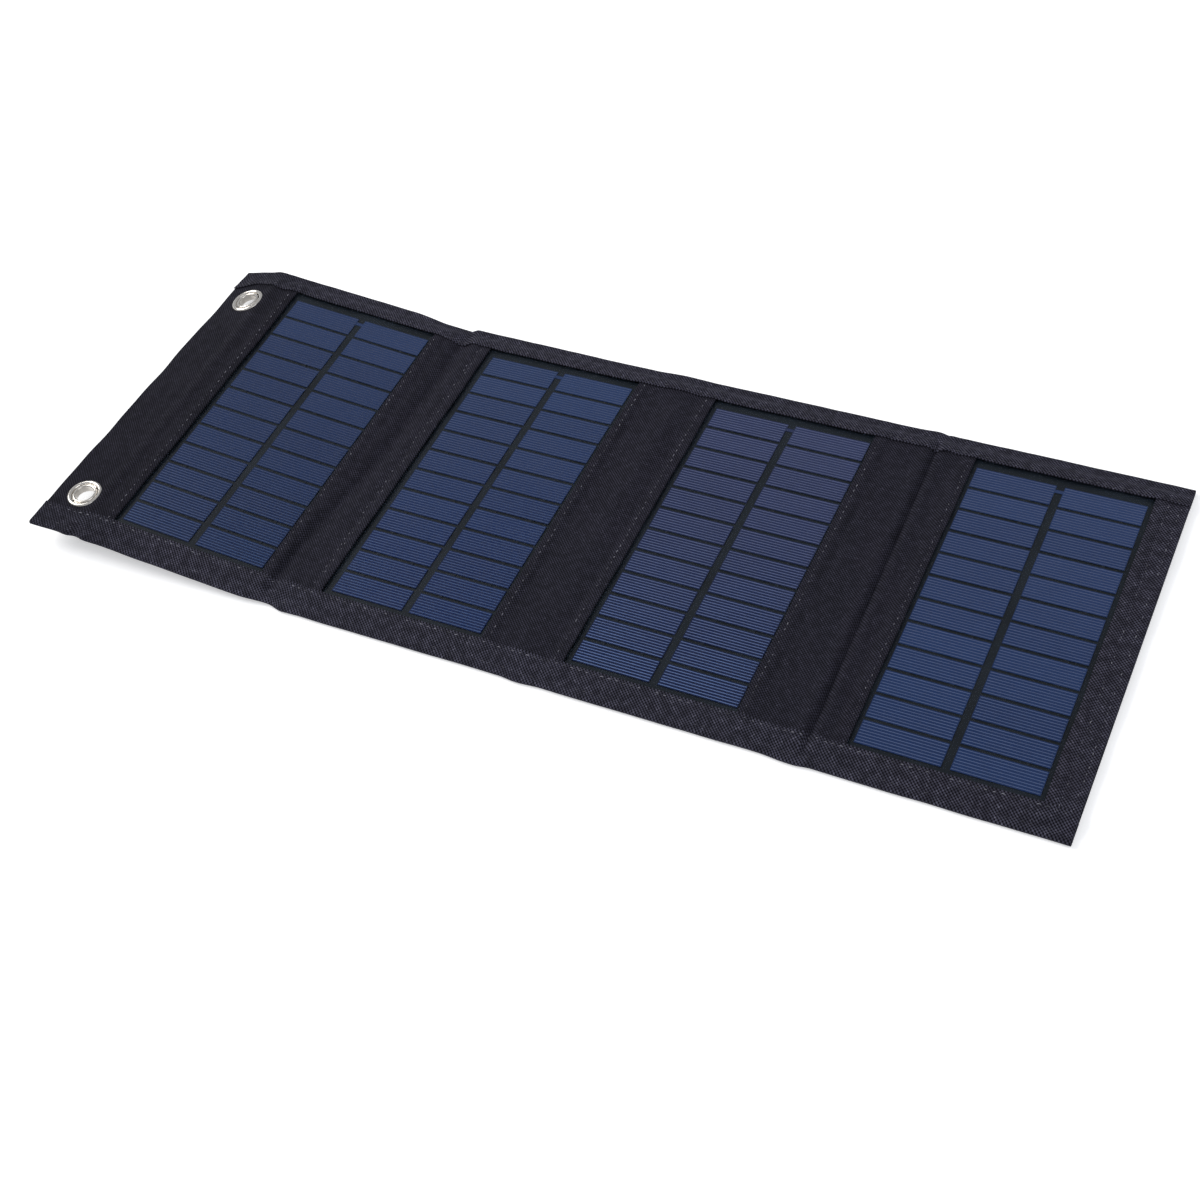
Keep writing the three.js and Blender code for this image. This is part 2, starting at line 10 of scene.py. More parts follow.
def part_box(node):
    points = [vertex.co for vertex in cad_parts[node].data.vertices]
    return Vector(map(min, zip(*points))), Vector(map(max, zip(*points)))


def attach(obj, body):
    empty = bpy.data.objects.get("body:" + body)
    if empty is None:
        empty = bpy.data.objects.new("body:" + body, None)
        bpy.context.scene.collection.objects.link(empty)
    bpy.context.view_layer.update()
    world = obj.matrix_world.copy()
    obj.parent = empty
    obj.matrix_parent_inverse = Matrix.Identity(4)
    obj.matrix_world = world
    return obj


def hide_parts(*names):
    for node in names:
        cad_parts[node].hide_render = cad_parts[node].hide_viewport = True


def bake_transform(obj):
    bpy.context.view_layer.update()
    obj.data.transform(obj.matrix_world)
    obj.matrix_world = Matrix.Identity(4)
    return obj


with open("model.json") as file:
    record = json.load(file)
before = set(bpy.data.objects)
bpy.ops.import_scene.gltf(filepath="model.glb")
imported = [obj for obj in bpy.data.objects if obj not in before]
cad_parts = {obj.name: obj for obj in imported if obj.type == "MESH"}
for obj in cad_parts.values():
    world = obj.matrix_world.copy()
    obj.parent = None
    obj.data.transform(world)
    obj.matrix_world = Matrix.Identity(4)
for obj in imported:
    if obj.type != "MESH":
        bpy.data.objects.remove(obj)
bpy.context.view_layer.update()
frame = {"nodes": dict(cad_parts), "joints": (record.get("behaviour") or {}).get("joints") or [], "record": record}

MM = 0.001
NODES = frame["nodes"]
JOINTS = {joint["name"]: joint for joint in frame["joints"]}

# ---- how the mat lies at rest ----

SECTION_TILT = -JOINTS["fold_1_2"]["range_deg"][0]
FLAP_DROOP = 11.0
FLAP_TWIST = 14.0
FLAP_CREASE_Z = 1.3

# half the width of cloth that bends at each crease
BEND_FLAP = 3.4
BEND_VALLEY = 5.2

# cloth thicknesses, single and turned under
CLOTH = 0.5
TURNED = 0.95
REST_GAP = 0.06


def axis_of(joint):
    """A fold's axis, [x, z] in millimetres, at rest."""
    x, _, z = JOINTS[joint]["pos_m"]
    return x / MM, z / MM


CREASE_12, VALLEY_AXIS_Z = axis_of("fold_1_2")
CREASE_23, _ = axis_of("fold_2_3")
CREASE_34, _ = axis_of("fold_3_4")


def turn(x, z, axis_x, axis_z, degrees):
    """Points turned about an axis along +Y. The angle may differ from point to point."""
    angle = np.radians(degrees)
    dx = x - axis_x
    dz = z - axis_z
    turned_x = axis_x + dx * np.cos(angle) + dz * np.sin(angle)
    turned_z = axis_z - dx * np.sin(angle) + dz * np.cos(angle)
    return turned_x, turned_z


FLAP_AXIS_X, FLAP_AXIS_Z = turn(*axis_of("flap_fold"), CREASE_12, VALLEY_AXIS_Z, -SECTION_TILT)
CREASE_FLAP = FLAP_AXIS_X


def stacked(*parts):
    """Points from their coordinates, given as arrays that broadcast together."""
    return np.stack(np.broadcast_arrays(*parts), axis=-1)


def smooth(t):
    """A soft step: 0 for t below 0, 1 for t above 1."""
    t = np.clip(t, 0.0, 1.0)
    return t * t * (3.0 - 2.0 * t)


def place(points):
    """Flat-sheet points, bent at the flap's crease and at the first fold as the mat lies at rest."""
    x, y, z = (np.asarray(points[..., i], float) for i in range(3))
    on_flap = smooth((CREASE_FLAP + BEND_FLAP - x) / (2 * BEND_FLAP))
    on_section_1 = smooth((CREASE_12 + BEND_VALLEY - x) / (2 * BEND_VALLEY))
    x, z = turn(x, z, CREASE_FLAP, FLAP_CREASE_Z, -FLAP_TWIST * y / WIDTH * on_flap)
    x, z = turn(x, z, CREASE_FLAP, FLAP_AXIS_Z, -FLAP_DROOP * on_flap)
    x, z = turn(x, z, CREASE_12, VALLEY_AXIS_Z, SECTION_TILT * on_section_1)
    return stacked(x, y, z)


def flat_box(node, body):
    """A CAD node's box in the flat sheet, in millimetres."""
    corners = np.array([v.co for v in NODES[node].data.vertices], float) / MM
    x, y, z = corners.T
    if body == "section_1":
        x, z = turn(x, z, CREASE_12, VALLEY_AXIS_Z, -SECTION_TILT)
    flat = stacked(x, y, z)
    return flat.min(0), flat.max(0)


# ---- the layout, read from the frame ----

WIDTH = (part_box("section_4_far_hem")[1].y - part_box("section_4_near_hem")[0].y) / MM
HALF = WIDTH / 2
MAT_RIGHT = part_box("section_4_back_cloth")[1].x / MM
FLAP_WIDTH = 21.2
FLAP_LEFT = CREASE_FLAP - FLAP_WIDTH
LAMINATE_TUCK = 3.5

LAMINATES = [flat_box(f"panel_{n}_film", f"section_{n}") for n in (1, 2, 3, 4)]
GRIDS = [flat_box(f"panel_{n}_cells", f"section_{n}") for n in (1, 2, 3, 4)]
FILM_TOP = LAMINATES[1][1][2]
CELL_TOP = GRIDS[1][1][2]
BOARD_LEFT = [low[0] for low, high in LAMINATES]
BOARD_RIGHT = [high[0] for low, high in LAMINATES]

# how far each window's cloth edge stands off the cells, left and right: sewn by hand, so uneven
WINDOW_GAP_LEFT = [2.4, 3.2, 2.2, 1.6]
WINDOW_GAP_RIGHT = [1.2, 1.7, 0.8, 2.0]
WINDOW_LEFT = [grid[0][0] - gap for grid, gap in zip(GRIDS, WINDOW_GAP_LEFT)]
WINDOW_RIGHT = [grid[1][0] + gap for grid, gap in zip(GRIDS, WINDOW_GAP_RIGHT)]
WINDOW_NEAR = LAMINATES[1][0][1] + LAMINATE_TUCK
WINDOW_FAR = LAMINATES[1][1][1] - LAMINATE_TUCK
PANEL_MIDDLE = [(grid[0][0] + grid[1][0]) / 2 for grid in GRIDS]

CELL_ROWS = 12
CELL_COLUMNS = 2
CELL_LENGTH = 32.0
CELL_WIDTH = 10.5
GRID_NEAR = GRIDS[0][0][1]
GRID_FAR = GRIDS[0][1][1]
ROW_PITCH = (GRID_FAR - GRID_NEAR - CELL_WIDTH) / (CELL_ROWS - 1)
COLUMN_PITCH = [(grid[1][0] - grid[0][0] - CELL_LENGTH) / (CELL_COLUMNS - 1) for grid in GRIDS]


# ---- smooth random numbers, the same in every run ----

RIPPLE_WAVES = 7
RIPPLE_CREST = 1.4


def ripple(x, y, seed, shortest, longest):
    """Gentle unevenness between about -1 and 1: a sum of sines in seeded directions."""
    random = np.random.default_rng(seed)
    total = np.zeros(np.broadcast(x, y).shape)
    for _ in range(RIPPLE_WAVES):
        heading = random.uniform(0, math.pi)
        length = random.uniform(shortest, longest)
        phase = random.uniform(0, 2 * math.pi)
        along = x * math.cos(heading) + y * math.sin(heading)
        total = total + np.sin(2 * math.pi * along / length + phase)
    return total / math.sqrt(RIPPLE_WAVES) / RIPPLE_CREST


def hump(distance, width):
    """A bell curve, 1 high, in the distance from its middle."""
    return np.exp(-((distance / width) ** 2))


def wrinkled(distance, wrinkles):
    """Humps and hollows side by side along a line, each (distance past the line, height, width)."""
    return sum(height * hump(distance - past, width) for past, height, width in wrinkles)


def knots(*groups):
    """(x, height) knots from groups of a line's x and its [(distance past the line, height), ...]."""
    return [(line + past, height) for line, marks in groups for past, height in marks]


def through(line, x):
    """A height line through (x, height) knots, level at each knot and smooth between them."""
    xs, zs = np.array(line, float).T
    x = np.clip(x, xs[0], xs[-1])
    i = np.clip(np.searchsorted(xs, x, side="right") - 1, 0, len(xs) - 2)
    share = (x - xs[i]) / (xs[i + 1] - xs[i])
    return zs[i] + (zs[i + 1] - zs[i]) * smooth(share)


# ---- height of the face cloth's top ----

ON_BOARD = FILM_TOP + REST_GAP + TURNED
OVER_BOARD = ON_BOARD - 0.04
BESIDE_BOARD = 3.0
STEP_INSIDE = 0.6
STEP_OUTSIDE = 2.6
OPEN_CLOTH = 2.8
FLAP_FACE_TOP = 1.95
BACK_CLOTH_TOP = 1.1
LOWEST_FACE = BACK_CLOTH_TOP + REST_GAP + CLOTH
FLAT_FROM_EDGE = 7.6
FLAT_TAPER = 4.6

# the hem's stitching presses the cloth from just outside its inner edge
PRESSED_FROM = 3.0
PRESSED_TAPER = 2.5
PRESSED_SHARE = 0.6
PRESSED_TOP = FILM_TOP + REST_GAP + TURNED * (1 - PRESSED_SHARE)

BROAD_RIPPLE = 0.22
FINE_RIPPLE = 0.12
VALLEY_PAST = 1.0
VALLEY_DRIFT = 8.0
GROOVE_PAST = -0.6
GROOVE_SLANT = -1.6
GROOVE_UNEVEN = 0.15
GROOVE_UNEVEN_EVERY = 17.0
# wrinkles: (distance past the fold's line, height, width)
FLAP_WRINKLES = [(4.2, -0.16, 1.5), (7.5, 0.12, 2.0)]
FLAP_WRINKLE_SLANT = 1 / 60
VALLEY_WRINKLES = [(0.0, -1.1, 3.6), (-1.0, -0.3, 1.3), (6.0, 0.45, 3.0), (-6.0, 0.35, 3.2)]
GROOVE_DEPTH = 1.9
GROOVE_WIDTH = 1.15
GROOVE_SHOULDERS = [(-3.2, 0.95, 2.6), (3.2, 0.85, 2.4)]
RIDGE_HEIGHT = 0.9
RIDGE_WIDTH = 6.0
RIDGE_FULL_TO = 50.0
RIDGE_TAPER = 24.0
RIDGE_LOWERED = 0.7

FACE_KNOTS = sorted(
    knots(
        (FLAP_LEFT, [(0.0, FLAP_FACE_TOP)]),
        (CREASE_FLAP, [(-BEND_FLAP, FLAP_FACE_TOP + 0.1), (2.0, OPEN_CLOTH)]),
        *((edge, [(STEP_INSIDE, OVER_BOARD), (-STEP_OUTSIDE, BESIDE_BOARD)]) for edge in BOARD_LEFT),
        *((edge, [(-STEP_INSIDE, OVER_BOARD), (STEP_OUTSIDE, BESIDE_BOARD)]) for edge in BOARD_RIGHT),
        (CREASE_12, [(0.0, OPEN_CLOTH - 0.1)]),
        (CREASE_23, [(0.0, OPEN_CLOTH + 0.5)]),
        (CREASE_34, [(0.0, OPEN_CLOTH)]),
    )
)


def valley_12(y):
    """The first fold's visible valley drifts towards panel 1 at the near side."""
    return CREASE_12 + VALLEY_PAST - VALLEY_DRIFT * smooth((20.0 - y) / 100.0)


def groove_34(y):
    """The last fold's groove, which slants across its crease."""
    return CREASE_34 + GROOVE_PAST + GROOVE_SLANT * y / HALF


def groove_depth_34(y):
    """The groove's depth, a little uneven along its way."""
    return GROOVE_DEPTH * (1.0 - GROOVE_UNEVEN + GROOVE_UNEVEN * np.sin(y / GROOVE_UNEVEN_EVERY))


def ridge_23(x, y):
    """The middle fold stands up in a round ridge, higher at the far side and lower at both hems."""
    height = RIDGE_HEIGHT * (1.0 + y / HALF)
    at_hem = smooth((np.abs(y) - RIDGE_FULL_TO) / RIDGE_TAPER)
    return height * hump(x - CREASE_23, RIDGE_WIDTH) * (1.0 - RIDGE_LOWERED * at_hem)


def pressed(y):
    """How far the hem's stitching presses the face cloth thin: 0 in the open, 1 under the hem."""
    return smooth((np.maximum(y - WINDOW_FAR, WINDOW_NEAR - y) + PRESSED_FROM) / PRESSED_TAPER)


def clear_of_edge(y):
    """1 over the mat's middle, falling to 0 towards the long edges, where all the layers lie flat."""
    return 1.0 - smooth((np.abs(y) - HALF + FLAT_FROM_EDGE) / FLAT_TAPER)


def face_top(x, y):
    """Height of the face cloth's top in the flat sheet. It flattens onto the back cloth under the hems."""
    z = through(FACE_KNOTS, x)
    loose = smooth((ON_BOARD - z) / (ON_BOARD - BESIDE_BOARD))
    z = z + loose * BROAD_RIPPLE * ripple(x, y, 3, 16, 60)
    z = z + loose * FINE_RIPPLE * ripple(x, y * 0.25, 4, 5, 12)
    z = z + loose * wrinkled(x - valley_12(y), VALLEY_WRINKLES)
    z = z + wrinkled(x - CREASE_FLAP - y * FLAP_WRINKLE_SLANT, FLAP_WRINKLES)
    z = z + ridge_23(x, y)
    z = z - groove_depth_34(y) * hump(x - groove_34(y), GROOVE_WIDTH)
    z = z + wrinkled(x - groove_34(y), GROOVE_SHOULDERS)
    z = z - pressed(y) * np.maximum(z - PRESSED_TOP, 0.0)
    return LOWEST_FACE + np.maximum(z - LOWEST_FACE, 0.0) * clear_of_edge(y)


# ---- mesh making ----

SHARP_CORNER = math.radians(62)


def new_piece(name, vertices, faces, sheet_xy=None):
    """A mesh object from millimetre points in the row frame. sheet_xy gives its cloth pattern's map."""
    mesh = bpy.data.meshes.new(name)
    mesh.from_pydata((np.asarray(vertices) * MM).tolist(), [], faces)
    if sheet_xy is not None:
        layer = mesh.uv_layers.new(name="Sheet")
        corners = np.zeros(len(mesh.loops), np.int64)
        mesh.loops.foreach_get("vertex_index", corners)
        layer.data.foreach_set("uv", (np.asarray(sheet_xy) * MM)[corners].astype(np.float32).ravel())
    work = bmesh.new()
    work.from_mesh(mesh)
    bmesh.ops.remove_doubles(work, verts=work.verts, dist=1e-7)
    bmesh.ops.recalc_face_normals(work, faces=work.faces)
    work.to_mesh(mesh)
    work.free()
    mesh.polygons.foreach_set("use_smooth", [True] * len(mesh.polygons))
    mesh.set_sharp_from_angle(angle=SHARP_CORNER)
    piece = bpy.data.objects.new(name, mesh)
    bpy.context.scene.collection.objects.link(piece)
    return piece


def grid_faces(rows, columns, start, flip, mask=None):
    """Quads between neighbouring points of a grid, where the mask lets them be."""
    faces = []
    for i, j in np.ndindex(rows - 1, columns - 1):
        if mask is None or mask[i, j]:
            a = start + i * columns + j
            quad = (a, a + 1, a + columns + 1, a + columns)
            faces.append(quad[::-1] if flip else quad)
    return faces


def rim_faces(top, under):
    """Walls from the top's open edges, those that only one of its quads has, to the bottom."""
    edges = {(quad[i - 1], quad[i]) for quad in top for i in range(len(quad))}
    return [(p, q, q + under, p + under) for p, q in sorted(edges) if (q, p) not in edges]


def thick_sheet(name, middle, thickness, sheet_xy, mask=None):
    """A closed cloth from its middle surface, a grid of flat-sheet points, and its thickness."""
    rows, columns = middle.shape[:2]
    normal = np.cross(np.gradient(middle, axis=1), np.gradient(middle, axis=0))
    normal /= np.linalg.norm(normal, axis=-1, keepdims=True)
    half = 0.5 * np.broadcast_to(thickness, (rows, columns))[..., None]
    sides = [place(middle + normal * half).reshape(-1, 3), place(middle - normal * half).reshape(-1, 3)]
    count = rows * columns
    top = grid_faces(rows, columns, 0, False, mask)
    faces = top + grid_faces(rows, columns, count, True, mask) + rim_faces(top, count)
    flat = sheet_xy.reshape(-1, 2)
    return new_piece(name, np.vstack(sides), faces, np.vstack([flat, flat]))


def rounded(distance, thickness):
    """Thickness near a folded edge, where it closes in a half circle."""
    share = np.clip(distance / (thickness / 2), 0, 1)
    return thickness * np.sqrt(np.maximum(1 - (1 - share) ** 2, 0.0))


EDGE_STEPS = np.array([0.0, 0.03, 0.1, 0.22, 0.38, 0.62, 1.0, 1.6])


def spaced(low, high, step, round_low=False, round_high=False):
    """Stations from low to high, packed close at a rounded end."""
    count = max(2, int(round((high - low) / step)))
    stations = np.linspace(low, high, count + 1)
    if round_low:
        stations = np.union1d(stations[stations > low + 2.0], low + EDGE_STEPS)
    if round_high:
        stations = np.union1d(stations[stations < high - 2.0], high - EDGE_STEPS)
    return stations


# ---- face strips between the windows ----

STRIP_STEP_X = 0.8
STRIP_STEP_Y = 1.5
FOLD_UNDER = 4.0
FOLD_STEP = 1.2
EDGE_STRAY = 0.22
EDGE_STRAY_REACH = 6.0
STRIP_INSET = 1.6
STRIP_HALF = HALF - STRIP_INSET


def edge_wave(y, seed):
    """How far a hand-sewn window edge strays from a straight line."""
    return EDGE_STRAY * ripple(y, 0 * y, seed, 30, 120)


def face_strip(name, left, right):
    """Cloth from one window's edge to the next, turned under at both, or to an end of the mat."""
    ys = np.linspace(-STRIP_HALF, STRIP_HALF, int(2 * STRIP_HALF / STRIP_STEP_Y) + 1)
    xs = spaced(left, right, STRIP_STEP_X, True, True)
    x, y = np.meshgrid(xs, ys, indexing="ij")
    from_left = x - left
    from_right = right - x
    stray = edge_wave(y, 11) * hump(from_left, EDGE_STRAY_REACH)
    stray = stray + edge_wave(y, 12) * hump(from_right, EDGE_STRAY_REACH)
    turned_left = 0.0 if left == FLAP_LEFT else smooth((FOLD_UNDER - from_left) / FOLD_STEP)
    turned_right = 0.0 if right == MAT_RIGHT else smooth((FOLD_UNDER - from_right) / FOLD_STEP)
    full = CLOTH + (TURNED - CLOTH) * np.maximum(turned_left, turned_right)
    full = full * (1.0 - PRESSED_SHARE * pressed(y))
    thickness = np.minimum(rounded(from_left, full), rounded(from_right, full))
    top = face_top(x, y)
    middle = stacked(x + stray, y, top - full / 2)
    return thick_sheet(name, middle, thickness, stacked(x, y), clear_of_eyelets(x, y))


# ---- eyelets' places ----

EYELET_INSET = 21.3
EYELET_FROM_CREASE = 7.6
EYELET_HOLE = 5.9
EYELET_X = CREASE_FLAP - EYELET_FROM_CREASE
EYELET_Y = HALF - EYELET_INSET


def clear_of_eyelets(x, y):
    """True for grid cells outside both eyelets' holes."""
    middle_x = (x[:-1, :-1] + x[1:, 1:]) / 2
    middle_y = (y[:-1, :-1] + y[1:, 1:]) / 2
    return np.hypot(middle_x - EYELET_X, np.abs(middle_y) - EYELET_Y) > EYELET_HOLE


# ---- back cloth ----

BACK_Z = 0.85
BACK_LOW = BACK_Z - CLOTH / 2
BACK_STEP_X = 1.0
BACK_STEP_Y = 2.0


def stations_along(left, right, step):
    """Stations along x, packed close at an end of the mat."""
    return spaced(left, right, step, left == FLAP_LEFT, right == MAT_RIGHT)


def thinned_at_ends(thickness, x, left, right):
    """Rounds off a single cloth where it ends with the mat."""
    if left == FLAP_LEFT:
        thickness = np.minimum(thickness, rounded(x - left, CLOTH))
    if right == MAT_RIGHT:
        thickness = np.minimum(thickness, rounded(right - x, CLOTH))
    return thickness


def back_cloth(name, left, right):
    """The flat cloth on the mat's back."""
    ys = np.linspace(-STRIP_HALF, STRIP_HALF, int(2 * STRIP_HALF / BACK_STEP_Y) + 1)
    xs = stations_along(left, right, BACK_STEP_X)
    x, y = np.meshgrid(xs, ys, indexing="ij")
    thickness = thinned_at_ends(CLOTH, x, left, right)
    return thick_sheet(name, stacked(x, y, BACK_Z), thickness, stacked(x, y), clear_of_eyelets(x, y))


# ---- hems ----

HEM_STEP = 1.0
HEM_TURNED = 0.72
HEM_FACE_WIDTH = 11.7
HEM_BACK_WIDTH = 10.0
HEM_HIDDEN_WIDTH = 3.0
HEM_TURN_UNDER = 3.4
HEM_EDGE_TOP = 2.3
FLAP_EDGE_TOP = 2.28
HEM_FOLD_REACH = 1.1
HEM_SINK = 0.05
HEM_LIP = 0.08
HEM_BACK_SETBACK = 1.2
HEM_CLEARANCE = 0.02
HEM_FINE_PUCKER = 0.06
HEM_BROAD_PUCKER = 0.12
HEM_FLAP_DENT = 0.45
HEM_LINE_STRAY = 0.1
HEM_SLOPE_FROM = 0.15
HEM_SLOPE_SHARE = 0.95
WINDOW_EASE = 5.0

# how far the outline stands out along each long edge
FAR_OUTLINE = knots(
    (FLAP_LEFT, [(0, -0.3)]),
    (CREASE_FLAP, [(-2, 0.3), (3, 0.0)]),
    (CREASE_12, [(-30, 0.0), (-6, -1.8), (-0.5, -2.0), (3, 0.1), (14, 0.0)]),
    (CREASE_23, [(-18, -0.5), (-1, 0.4), (10, 0.1)]),
    (CREASE_34, [(-16, 0.0), (-3, 0.5), (1.5, -0.3), (8, 0.0)]),
    (MAT_RIGHT, [(0, 0.0)]),
)
NEAR_OUTLINE = knots(
    (FLAP_LEFT, [(0, 0.2)]),
    (CREASE_FLAP, [(-8, 0.0), (-3, 0.4), (1, -0.4), (5, 0.2), (12, 0.0)]),
    (CREASE_12, [(-18, 0.0), (-4, -1.3), (3, 0.2), (12, 0.0)]),
    (CREASE_23, [(-8, -0.2), (0, 0.5), (10, 0.0)]),
    (CREASE_34, [(-14, -0.2), (-1, 0.5), (6, 0.0)]),
    (MAT_RIGHT, [(0, 0.0)]),
)
# how far the hem's inner edge strays towards the window
FAR_INNER = knots(
    (FLAP_LEFT, [(0, 2.4)]),
    (CREASE_FLAP, [(-8, -1.6), (-2, -1.2), (4, 0.3)]),
    (WINDOW_LEFT[0], [(0, 0.0)]),
    (CREASE_12, [(-12, 0.0), (-3, 1.1), (0.5, 0.8), (4, -0.6), (10, 0.0)]),
    (CREASE_23, [(-14, 0.2), (-3, -0.5), (6, 0.1)]),
    (CREASE_34, [(-8, 0.0), (-1, 0.7), (4, -0.4), (8, 0.3), (14, 0.0)]),
    (MAT_RIGHT, [(0, 0.0)]),
)
NEAR_INNER = knots(
    (FLAP_LEFT, [(0, 0.0)]),
    (CREASE_12, [(-8, 0.0), (0, 0.8), (8, 0.0)]),
    (CREASE_34, [(-4, 0.0), (1, 0.6), (8, 0.0)]),
    (MAT_RIGHT, [(0, 0.0)]),
)
# puckers across the hems at the creases: (distance past the line, height, width)
HEM_AT_FLAP = [(-3.0, 0.2, 2.0), (4.0, 0.15, 2.0)]
HEM_AT_12 = [(-2.0, -0.4, 3.0), (3.5, 0.2, 2.6)]
HEM_AT_34 = [(0.3, -0.7, 1.1), (3.4, 0.45, 2.2), (-3.6, 0.25, 2.4)]
HEM_SLANT_34 = 1.2


def under_hem(x, y):
    """What the hem's face leg lies on: the strips, and the films in between."""
    z = face_top(x, y)
    film = LOWEST_FACE + (FILM_TOP - LOWEST_FACE) * clear_of_edge(y)
    for left, right in zip(WINDOW_LEFT, WINDOW_RIGHT):
        inside = smooth((x - left) / WINDOW_EASE) * smooth((right - x) / WINDOW_EASE)
        z = z + inside * (film - z)
    return z


def hem_crumple(x, w, side):
    """Small puckers of a hem. w runs from 0 at its inner edge to 1 at the outline."""
    seed = 21 if side > 0 else 31
    z = HEM_FINE_PUCKER * ripple(x, w * 12, seed, 7, 16)
    z = z + HEM_BROAD_PUCKER * ripple(x, w * 8, seed + 1, 25, 70)
    z = z - HEM_FLAP_DENT * hump(x - CREASE_FLAP - 0.5, 1.0) * (0.4 + 0.6 * w)
    z = z + wrinkled(x - CREASE_FLAP, HEM_AT_FLAP) + wrinkled(x - CREASE_12, HEM_AT_12)
    return z + wrinkled(x - CREASE_34 + HEM_SLANT_34 * side, HEM_AT_34)


def hem_lines(x, side):
    """The hem's outline, inner edge and edge height at x."""
    outline = through(FAR_OUTLINE if side > 0 else NEAR_OUTLINE, x)
    inner = through(FAR_INNER if side > 0 else NEAR_INNER, x)
    seed = 41 if side > 0 else 43
    window = WINDOW_FAR if side > 0 else -WINDOW_NEAR
    outer_y = HALF + outline + HEM_LINE_STRAY * ripple(x, 0 * x, seed, 9, 50)
    inner_y = window - inner + HEM_LINE_STRAY * ripple(x, 0 * x, seed + 1, 12, 60)
    on_flap = smooth((CREASE_FLAP + 4 - x) / 8)
    edge_top = HEM_EDGE_TOP + (FLAP_EDGE_TOP - HEM_EDGE_TOP) * on_flap
    return outer_y, inner_y, edge_top


def hem_face(x, w, side):
    """A point of the hem's face: distance from the mat's middle line and height of its top."""
    outer_y, inner_y, edge_top = hem_lines(x, side)
    y = inner_y + (outer_y - HEM_FOLD_REACH - inner_y) * w
    rest = under_hem(x, side * y) + REST_GAP
    thickness = CLOTH + (HEM_TURNED - CLOTH) * smooth((HEM_TURN_UNDER - (y - inner_y)) / 1.0)
    slope = smooth((w - HEM_SLOPE_FROM) / HEM_SLOPE_SHARE)
    z = (rest + thickness) * (1 - slope) + edge_top * slope
    inner_lip = HEM_LIP * hump(w, 0.12)
    z = z + hem_crumple(x, w, side) * (0.35 + 0.65 * smooth(w * 3)) + inner_lip
    return y, np.maximum(z, rest + thickness - HEM_SINK)


FACE_SHARES = np.concatenate([EDGE_STEPS / 10.0, np.linspace(0.2, 1.0, 11)])
FOLD_ANGLES = np.radians(np.linspace(80, -90, 9))
BACK_SHARES = np.concatenate([np.linspace(0.1, 0.84, 6), 1 - EDGE_STEPS[::-1] / 10.0])


def hem_middle(xs, side):
    """The hem's middle surface: face leg, rounded outer fold and back leg, as rows of points."""
    legs = []
    for w in FACE_SHARES:
        y, top = hem_face(xs, np.full(xs.shape, w), side)
        legs.append((y, top - CLOTH / 2))
    outer_y, _, _ = hem_lines(xs, side)
    last_y, last_z = legs[-1]
    fold_low = CLOTH / 2 + HEM_CLEARANCE
    fold_radius = (last_z - fold_low) / 2
    reach = outer_y - last_y - CLOTH / 2
    for angle in FOLD_ANGLES:
        z = fold_low + fold_radius * (1 + math.sin(angle))
        legs.append((last_y + reach * math.cos(angle), z))
    for share in BACK_SHARES:
        legs.append((last_y - (HEM_BACK_WIDTH - HEM_BACK_SETBACK) * share, np.full(xs.shape, fold_low)))
    return np.stack([stacked(xs, side * y, z) for y, z in legs])


def hem(name, left, right, side):
    """A folded binding round a long edge."""
    xs = stations_along(left, right, HEM_STEP)
    middle = hem_middle(xs, side)
    steps = np.linalg.norm(np.diff(middle.mean(1), axis=0), axis=1)
    along = np.concatenate([[0], np.cumsum(steps)])[:, None]
    full = CLOTH + (HEM_TURNED - CLOTH) * smooth((HEM_TURN_UNDER - along) / 1.0)
    middle[..., 2] -= (full - CLOTH) / 2
    thickness = np.minimum(rounded(along, full), rounded(along[-1] - along, CLOTH))
    thickness = thinned_at_ends(thickness, xs, left, right)
    sheet_xy = stacked(middle[..., 0], side * along)
    return thick_sheet(name, middle, thickness, sheet_xy)


# ---- stitches ----

STITCH_PITCH = 3.1
STITCH_LENGTH = 2.0
STITCH_WIDTH = 0.36
STITCH_DIP = 0.3
STITCH_SUNK = 0.13
STITCH_YAW = 0.14
STITCH_STRAY = 0.16
STITCH_SIZES = (0.6, 1.1)
HEM_STITCH_SIZES = (0.5, 1.1)
STITCH_PACE = (0.93, 1.07)
STITCH_BLUNTNESS = 2.6
STITCH_TIP = 0.06
STITCH_SIDES = 6
STITCH_RINGS = 5


def stitch_template():
    """A short thread bar along x, tapered at both ends where it dives into the cloth."""
    points = []
    faces = [tuple(range(STITCH_SIDES))[::-1]]
    for ring in range(STITCH_RINGS):
        t = -1 + 2 * ring / (STITCH_RINGS - 1)
        radius = STITCH_WIDTH / 2 * math.sqrt(max(1.0 - abs(t) ** STITCH_BLUNTNESS, STITCH_TIP))
        for corner in range(STITCH_SIDES):
            angle = 2 * math.pi * corner / STITCH_SIDES
            dip = -STITCH_DIP * t * t
            points.append((t * STITCH_LENGTH / 2, radius * math.cos(angle), radius * math.sin(angle) + dip))
            a, b = (ring * STITCH_SIDES + c % STITCH_SIDES for c in (corner, corner + 1))
            if ring < STITCH_RINGS - 1:
                faces.append((a, b, b + STITCH_SIDES, a + STITCH_SIDES))
    faces.append(tuple((STITCH_RINGS - 1) * STITCH_SIDES + c for c in range(STITCH_SIDES)))
    return np.array(points), faces


STITCH_POINTS, STITCH_FACES = stitch_template()


